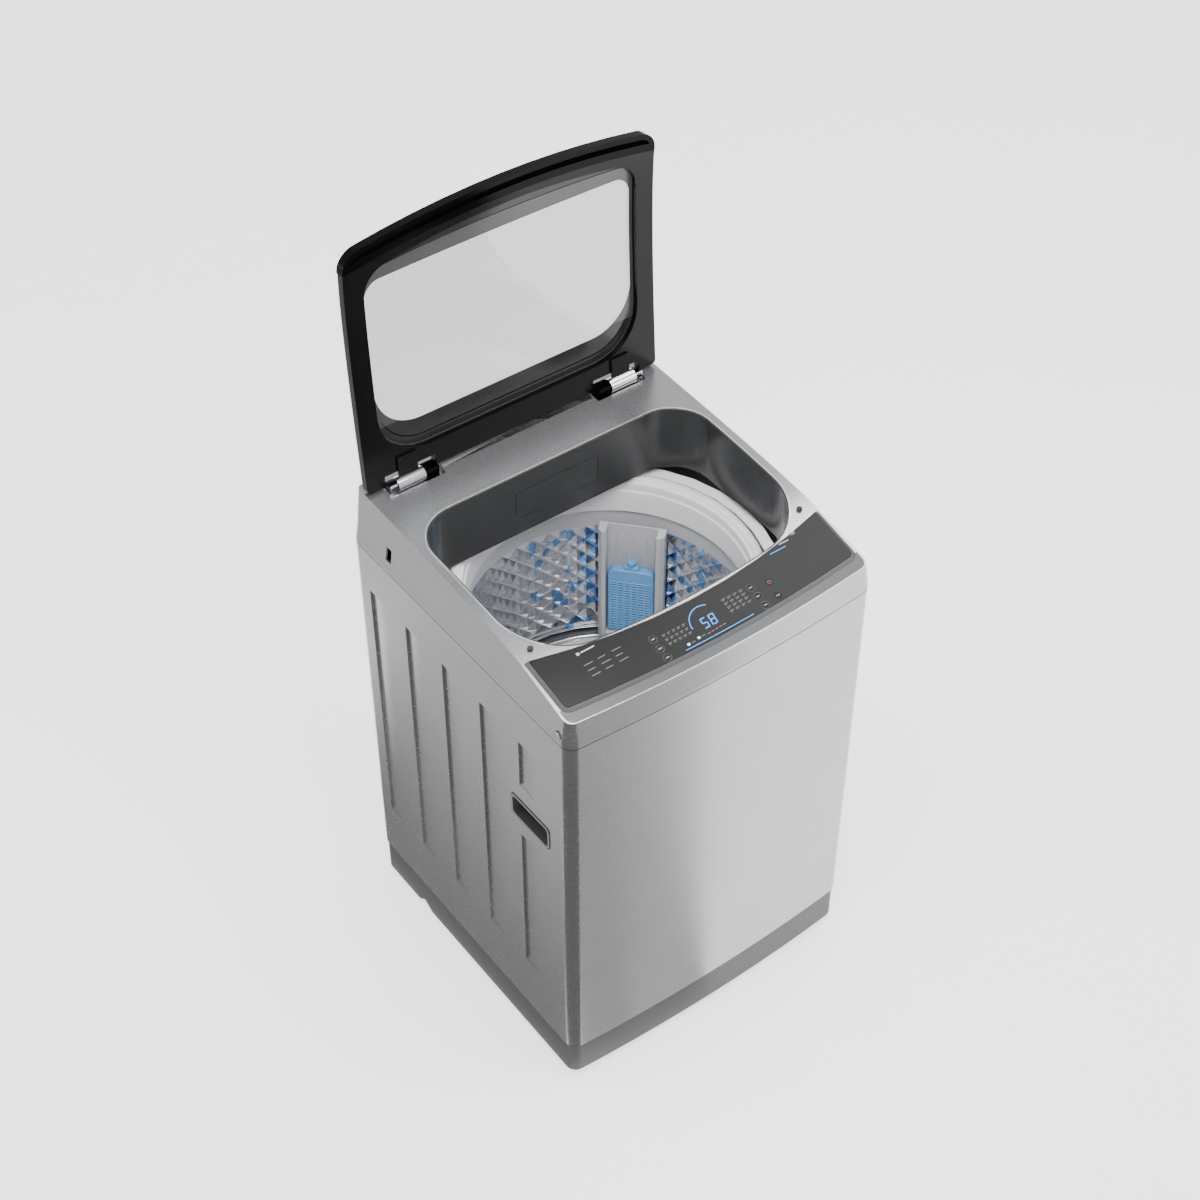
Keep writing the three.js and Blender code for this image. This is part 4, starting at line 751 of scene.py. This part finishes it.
# the filter is drawn facing the machine's axis along X, in mm, then turned to its place on the wall
FILTER_TURN = Matrix.Rotation(FILTER_AT, 4, "Z")
FRONT_R = 210.5
GRILLE_R = 209.9
BACK_R = 229
KNOB_R = 219
CARTRIDGE_HALF = 43.5
FOOT_R, SHOULDER_R = 6, 16
foot_z, top_z = filter_low.z / MM + 0.5, filter_high.z / MM
shoulder = top_z - 22


def filter_bits():
    half, foot, round_off = CARTRIDGE_HALF, FOOT_R, SHOULDER_R
    points = arc(half - foot, foot_z + foot, foot, -90, 0)
    points += arc(half - round_off, shoulder - round_off, round_off, 0, 90)
    points += arc(-half + round_off, shoulder - round_off, round_off, 90, 180)
    points += arc(-half + foot, foot_z + foot, foot, 180, 270)
    body = slab("filter_cartridge_moulded", [(a * MM, b * MM) for a, b in points],
                (FRONT_R + 1.2) * MM, BACK_R * MM, "X")
    soften(body, 2.5, 4)
    yoke = block("filter_yoke", (FRONT_R + 3, -14, shoulder - 2), (BACK_R - 3, 14, shoulder + 9), 2.5)
    stem = bar("filter_stem", 6, (KNOB_R, 0, shoulder + 5), (KNOB_R, 0, shoulder + 13), 32, 1)
    knob = bar("filter_knob", 8.6, (KNOB_R, 0, shoulder + 12), (KNOB_R, 0, top_z - 0.5), 40, 2.5, 4)
    body = joined(body, yoke, stem, knob)
    body.data.transform(FILTER_TURN)
    fit(body, "lint_filter", filter_moulding, "filter_blue", "filter_cartridge")

    # the slotted face: a sheet of cells, each set in behind its own border
    wide, tall, wall, pocket = 76 * MM, 118 * MM, 1.5 * MM, 1.4 * MM
    clear()
    bpy.ops.mesh.primitive_grid_add(x_subdivisions=6, y_subdivisions=19, size=1)
    grille = bpy.context.object
    grille.name = "filter_grille"
    work(grille)
    bpy.ops.transform.resize(value=(wide, tall, 1), center_override=(0, 0, 0))
    bpy.ops.mesh.inset(thickness=wall, use_individual=True)
    push(z=-pocket)
    bpy.ops.object.mode_set(mode="OBJECT")
    modify(grille, "SOLIDIFY", thickness=2.2 * MM, offset=-1)
    soften(grille, 0.35, 1, 50)
    lie = Matrix(((0, 0, -1, GRILLE_R * MM), (-1, 0, 0, 0), (0, 1, 0, (foot_z + 67) * MM), (0, 0, 0, 1)))
    grille.data.transform(FILTER_TURN @ lie)
    fit(grille, "lint_filter", filter_moulding, "filter_blue")
    # the floor of each slot takes the dark blue mesh, darkened as painted shade
    grille.data.materials.append(filter_shade)
    deep = (GRILLE_R + 1.0) * MM
    back = FILTER_TURN.inverted()
    for face in grille.data.polygons:
        place = back @ face.center
        if deep < place.x < deep + 1.2 * MM and (back.to_3x3() @ face.normal).x < -0.9:
            face.material_index = 1


filter_bits()
RIB_PITCH = 14.6
RIB_WIDE = 2.2
RIB_TOP = 752                       # just under the housing's open top
RIBS = 7
ribs = block("filter_housing_ribs", (203.2, -44, top_z + 14), (206, -44 + RIB_WIDE, RIB_TOP), 0.7, 2)
joined(ribs, *[copied(ribs, "filter_rib_%d" % i, (0, i * RIB_PITCH, 0)) for i in range(1, RIBS)])
ribs.data.transform(FILTER_TURN)
fit(ribs, "basket", housing_moulding, "clear_plastic")

# ---------------------------------------------------------------- control panel printing and lamps
# drawn flat in mm, X across and Y up the slope from the front lip, then laid on the slope
TILT = math.atan(PANEL_SLOPE)
PANEL = Matrix.Translation((0, FRONT, LIP)) @ Matrix.Rotation(TILT, 4, "X")
FILM_TOP = 4.9
FILM_HALF = 294


def film_edge(x):
    """How far up the slope the film's front edge lies."""
    return 18.5 + 14.9 * (x / FILM_HALF) ** 2


def printed(name, shapes, material, body="cabinet", level=FILM_TOP, tall=0.12, slot="smoked_film"):
    parts = [slab("%s_%d" % (name, i), [(a * MM, b * MM) for a, b in shape], level * MM, (level + tall) * MM)
             for i, shape in enumerate(shapes)]
    piece = joined(*parts) if len(parts) > 1 else parts[0]
    piece.name = name
    piece.data.transform(PANEL)
    return fit(piece, body, material, slot)


def dash(x, y, wide, tall=1.1):
    return [(x, y), (x + wide, y), (x + wide, y + tall), (x, y + tall)]


def ring_part(cx, cy, inner_r, outer_r, first, last):
    return arc(cx, cy, outer_r, first, last, 24) + arc(cx, cy, inner_r, last, first, 24)


def digit(x, y, w, tall, lit):
    """The lit bars of a seven-segment digit; t is a bar's thickness and m the mitre gap between bars."""
    t, m, lean = 1.9, 0.45, 0.14
    half = tall / 2
    across = [(m, 0), (w - m, 0), (w - m - t, t), (m + t, t)]
    spots = {
        "a": [(x_, tall - y_) for x_, y_ in across], "d": across,
        "g": [(m + t * 0.5, half), (m + t, half + t / 2), (w - m - t, half + t / 2), (w - m - t * 0.5, half),
              (w - m - t, half - t / 2), (m + t, half - t / 2)],
        "e": [(0, m), (0, half - m), (t * 0.6, half - m), (t, half - m - t / 2), (t, m + t)],
    }
    left = spots["e"]
    spots["f"] = [(x_, tall - y_) for x_, y_ in left]
    spots["c"] = [(w - x_, y_) for x_, y_ in left]
    spots["b"] = [(w - x_, tall - y_) for x_, y_ in left]
    return [[(x + x_ + lean * y_, y + y_) for x_, y_ in spots[part]] for part in lit]


# the band between the film and the front lip is faced in a darker grey
trim = outline("panel_front_trim", HALF - 11 * MM, 8 * MM, 37 * MM, -0.3 * MM, 14 * MM, 1 * MM,
               BOW, 14.5 * MM)
raised(trim, 0.66 * MM)
trim.data.transform(PANEL)
fit(trim, "cabinet", panel_trim, "silver_plastic", smooth=20)

printed("display_digits", digit(-14.5, 41, 11, 20, "afgcd") + digit(1.5, 41, 11, 20, "abcdefg"),
        display_blue)
printed("display_arc", [ring_part(0, 50, 31.5, 33, 62, 178)], display_blue)
printed("light_line", [[(x, film_edge(x) + 4.2) for x in range(-66, 73, 6)]
                       + [(x, film_edge(x) + 5.4) for x in range(72, -67, -6)]], display_blue)
printed("mode_lamps", [dash(-58, 29, 5, 4), dash(-36, 31, 5, 4)], display_mint)
# small print is stood for by plain dashes: a tall one and a short one under it for each word
small = [dash(-83 + 10 * i, 66 - 9 * j, 6, 0.9) for i in range(5) for j in range(3)]
small += [dash(-83 + 10 * i, 63.5 - 9 * j, 4, 0.7) for i in range(5) for j in range(3)]
small += [dash(42 + 12 * i, 72 - 8 * j, 8, 0.9) for i in range(4) for j in range(4)]
small += [dash(42 + 12 * i, 69.5 - 8 * j, 5, 0.7) for i in range(4) for j in range(4)]
small += [dash(-50 + 22 * i, 30.5 + 2 * i, 8, 1) for i in range(2)]
small += [dash(-224 + 27 * i, 83 - 11 * j, 17 - 3 * ((i + j) % 2), 1.1) for i in range(3) for j in range(3)]
printed("programme_marks", small, print_grey)
printed("maker_plate_blank", [dash(-222, 104, 5, 5), dash(-214, 105.5, 26, 2)], print_white)
printed("feature_marks", [dash(196, 112, 20, 1.6), dash(226, 121, 9, 2.4), dash(226, 118, 9, 1)], print_white)
printed("feature_line", [dash(170, 104, 34, 1.2)], display_blue)
printed("display_icons", [dash(-16 + 8 * i, 31 + 0.4 * i, 5, 1.2) for i in range(5)], print_red)

KEY_AT = {"left_top": (-100, 68), "left_middle": (-100, 48), "left_bottom": (-100, 28.5),
          "right_top": (100, 68), "right_middle": (100, 48), "right_bottom": (100, 28.5), "start": (130, 33)}
key_bodies = {key: next(b for b, nodes in frame["record"]["behaviour"]["bodies"].items()
                        if "key_" + key in nodes) for key in list(KEY_AT) + ["power"]}
KEY_TOP = 5.2
for key, (x, y) in KEY_AT.items():
    printed("key_mark_" + key, [dash(x - 3.2, y - 0.5, 6.4, 1.0)], print_white, key_bodies[key], KEY_TOP,
            0.1, "key_film")
printed("key_mark_power", [ring_part(134, 61, 3.2, 3.9, -240, 60), dash(133.6, 61, 0.8, 4)], print_red,
        key_bodies["power"], KEY_TOP, 0.1, "key_film")
printed("key_halos", [ring_part(x, y, 6.9, 7.2, 0, 359) for x, y in list(KEY_AT.values())[:6]], print_grey)


# ---------------------------------------------------------------- lid window
# each outline is half width, front, back, front corner, back corner and bow, in mm, with the lid shut
OPEN = math.radians(-96)
HANG = Matrix.Translation(HINGE) @ Matrix.Rotation(OPEN, 4, "X") @ Matrix.Translation(-HINGE)
LID_CUT_Z = 0.94                    # below the shut lid, and tall enough to reach through its crown
LID_CUT_TALL = 0.12


def lid_outline(name, half, front, back, front_r, back_r, bow):
    face = outline(name, half * MM, front * MM, back * MM, LID_CUT_Z, front_r * MM, back_r * MM, bow * MM,
                   corner=16)
    return raised(face, LID_CUT_TALL)


def lid_ring(name, outer, inner, low, high, material, keep=None):
    """A ring between two outlines, laid under the crowned glass and swung open with the lid."""
    piece = lid_outline(name, *outer)
    combine(piece, lid_outline("inside", *inner))
    combine(piece, deck_layer("layer", low * MM, high * MM), "INTERSECT")
    if keep:
        combine(piece, block("kept", (-400, keep[0], 800), (400, keep[1], 1200)), "INTERSECT")
    piece.data.transform(HANG)
    soften(piece, 0.15, 2)
    return fit(piece, "lid", material, "black_plastic")


CLEAR = (262, -130, 162, 32, 85, 4)
lid_ring("window_print", (267.5, -156.5, 213.5, 40, 90, 31), CLEAR, 19.0, 19.9, frit_black)
lid_ring("window_band", (266, -150, 205, 30, 84, 13), (260.5, -131.5, 163.5, 33, 86, 4),
         18.0, 18.9, band_grey, (-200, 150))
lid_ring("window_groove", (258, -140, 196, 30, 84, 10), (256.6, -138.6, 194.6, 29, 83, 10),
         18.0, 18.9, black_moulding, (140, 260))
lid_ring("window_gasket", (266.4, -155.4, 212.4, 40.4, 90.4, 31), (263.4, -152.4, 209.4, 37.4, 87.4, 31),
         16.6, 18.0, rubber)

# ---------------------------------------------------------------- small fittings on cabinet and cover
# rubber strips in the joints over and under the cabinet
for name, z, inset in (("seam_gasket", SEAM - 3.2 * MM, 1.1 * MM),
                       ("plinth_gasket", PLINTH_TOP - 2.8 * MM, 3.2 * MM)):
    gasket = tube_wall(cabinet_outline(name, z, inset), 3 * MM, 1.4 * MM)
    fit(gasket, "cabinet", rubber, "rubber")

# a black strip, about 1.6 mm tall, painted in as the shadow of the gap under the cover, left out across the
# rear panel
seam_gap_painted_shade = tube_wall(cabinet_outline("seam_gap_painted_shade", SEAM - 1.0 * MM, -0.06 * MM), 1.6 * MM, 0.5 * MM)
combine(seam_gap_painted_shade, block("rear_cut", (-300, REAR / MM - 30, SEAM / MM - 5),
                         (300, REAR / MM + 20, SEAM / MM + 5)))
# painted shade: the strip takes the rubber's black
fit(seam_gap_painted_shade, "cabinet", rubber, "rubber")

# the bead round the mouth, painted bright as the rim's highlight, stops at the panel, whose film covers the
# front of the mouth
mouth_lip = tube_wall(mouth_outline("mouth_lip", 0.9, -2.6 * MM), 0.12, 2.8 * MM)
combine(mouth_lip, deck_layer("layer", -1.2 * MM, 0.9 * MM), "INTERSECT")
combine(mouth_lip, block("front_part", (-400, -400, 800), (400, -166, 1100)))
soften(mouth_lip, 0.8, 3)
fit(mouth_lip, "cabinet", rim_highlight_paint, "silver_plastic")

CAP_Y, CAP_Z, CAP_R = -285, 893, 8
CUP_FLANGE = 6 * MM
GRIP_R = 9 * MM


def grip(name, cup, inset, near, far):
    """The handle's opening, moved in by an inset, as a plate from one X to another."""
    low, high = cup
    low_y, high_y = low.y + CUP_FLANGE + inset, high.y - CUP_FLANGE - inset
    low_z, high_z = low.z + CUP_FLANGE + inset, high.z - CUP_FLANGE - inset
    r = GRIP_R - inset
    points = arc(high_y - r, high_z - r, r, 0, 90) + arc(low_y + r, high_z - r, r, 90, 180)
    points += arc(low_y + r, low_z + r, r, 180, 270) + arc(high_y - r, low_z + r, r, 270, 360)
    return slab(name, points, min(near, far), max(near, far), "X")


for side, sign in (("left", -1), ("right", 1)):
    cap = bar("screw_cap_" + side, CAP_R, (sign * (HALF / MM - 1.2), CAP_Y, CAP_Z),
              (sign * (HALF / MM + 0.35), CAP_Y, CAP_Z), 48, 0.4)
    work(cap)
    pick("FACE", lambda f: abs(f.normal.x) > 0.99 and len(f.verts) > 8
         and f.calc_center_median().x * sign > HALF)
    bpy.ops.mesh.inset(thickness=1.2 * MM)
    push(x=-sign * 0.4 * MM)
    rest_hands(cap)
    fit(cap, "cabinet", silver_moulding, "silver_plastic")

    # a thin silver rim, 2.4 mm wide, that frames the opening of the handle
    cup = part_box("handle_cup_" + side)
    reach = cup[1].x if sign > 0 else cup[0].x
    rim = grip("handle_rim_" + side, cup, -1.2 * MM, reach + sign * 0.1 * MM, reach - sign * 0.9 * MM)
    combine(rim, grip("hole", cup, 1.2 * MM, reach + sign * 3 * MM, reach - sign * 4 * MM))
    soften(rim, 0.3, 2)
    fit(rim, "cabinet", silver_moulding, "silver_plastic")

# ---------------------------------------------------------------- rear panel, in mm
panel_low, panel_high = (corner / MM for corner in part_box("rear_panel"))
rear = REAR / MM

# cross-head screws in three columns and three rows
columns = (panel_low.x + 9, 0, panel_high.x - 9)
rows = (panel_low.z + 14, (panel_low.z + panel_high.z) / 2, panel_high.z - 14)
x, z = columns[0], rows[0]
screws = bar("rear_panel_screws", 5, (x, rear - 2.5, z), (x, rear + 1.4, z), 24, 0.9, 3)
combine(screws, block("slot_across", (x - 3, rear + 0.6, z - 0.5), (x + 3, rear + 3, z + 0.5)))
combine(screws, block("slot_upright", (x - 0.5, rear + 0.6, z - 3), (x + 0.5, rear + 3, z + 3)))
joined(screws, *[copied(screws, "screw", (column - x, 0, row - z)) for column in columns for row in rows
                 if (column, row) != (x, z)])
fit(screws, "cabinet", zinc_steel, "zinc_steel")

# each louvre is a low block whose outer top edge is pushed back, so that it sheds water
LOUVRES, LOUVRE_PITCH, LOUVRE_TALL = 9, 22, 9
louvre_z = panel_low.z + 470
vents = block("rear_panel_louvres", (-130, rear - 1.7, louvre_z), (130, rear + 0.9, louvre_z + LOUVRE_TALL))
work(vents)
outer_top = (louvre_z + LOUVRE_TALL - 1) * MM
pick("EDGE", lambda e: all(v.co.y > REAR and v.co.z > outer_top for v in e.verts))
bpy.ops.transform.translate(value=(0, -2.2 * MM, 0))
rest_hands(vents)
soften(vents, 0.5, 2, 20)
louvres = [copied(vents, "louvre", (0, 0, row * LOUVRE_PITCH)) for row in range(1, LOUVRES)]
# two flat pressed ribs stiffen the sheet on either side
RIB_X = 215
rib = soften(block("rib", (-RIB_X - 16, rear - 1.7, 200), (-RIB_X + 16, rear + 0.6, 790)), 1.0, 3)
joined(vents, *louvres, rib, copied(rib, "rib", (2 * RIB_X, 0, 0)))
fit(vents, "cabinet", zinc_steel, "zinc_steel")

header = block("rear_header", (-279, rear - 4.6, panel_high.z - 4), (279, rear - 2.6, SEAM / MM - 0.6),
               0.5, 2)
fit(header, "cabinet", silver_paint, "painted_steel")

bpy.context.view_layer.update()
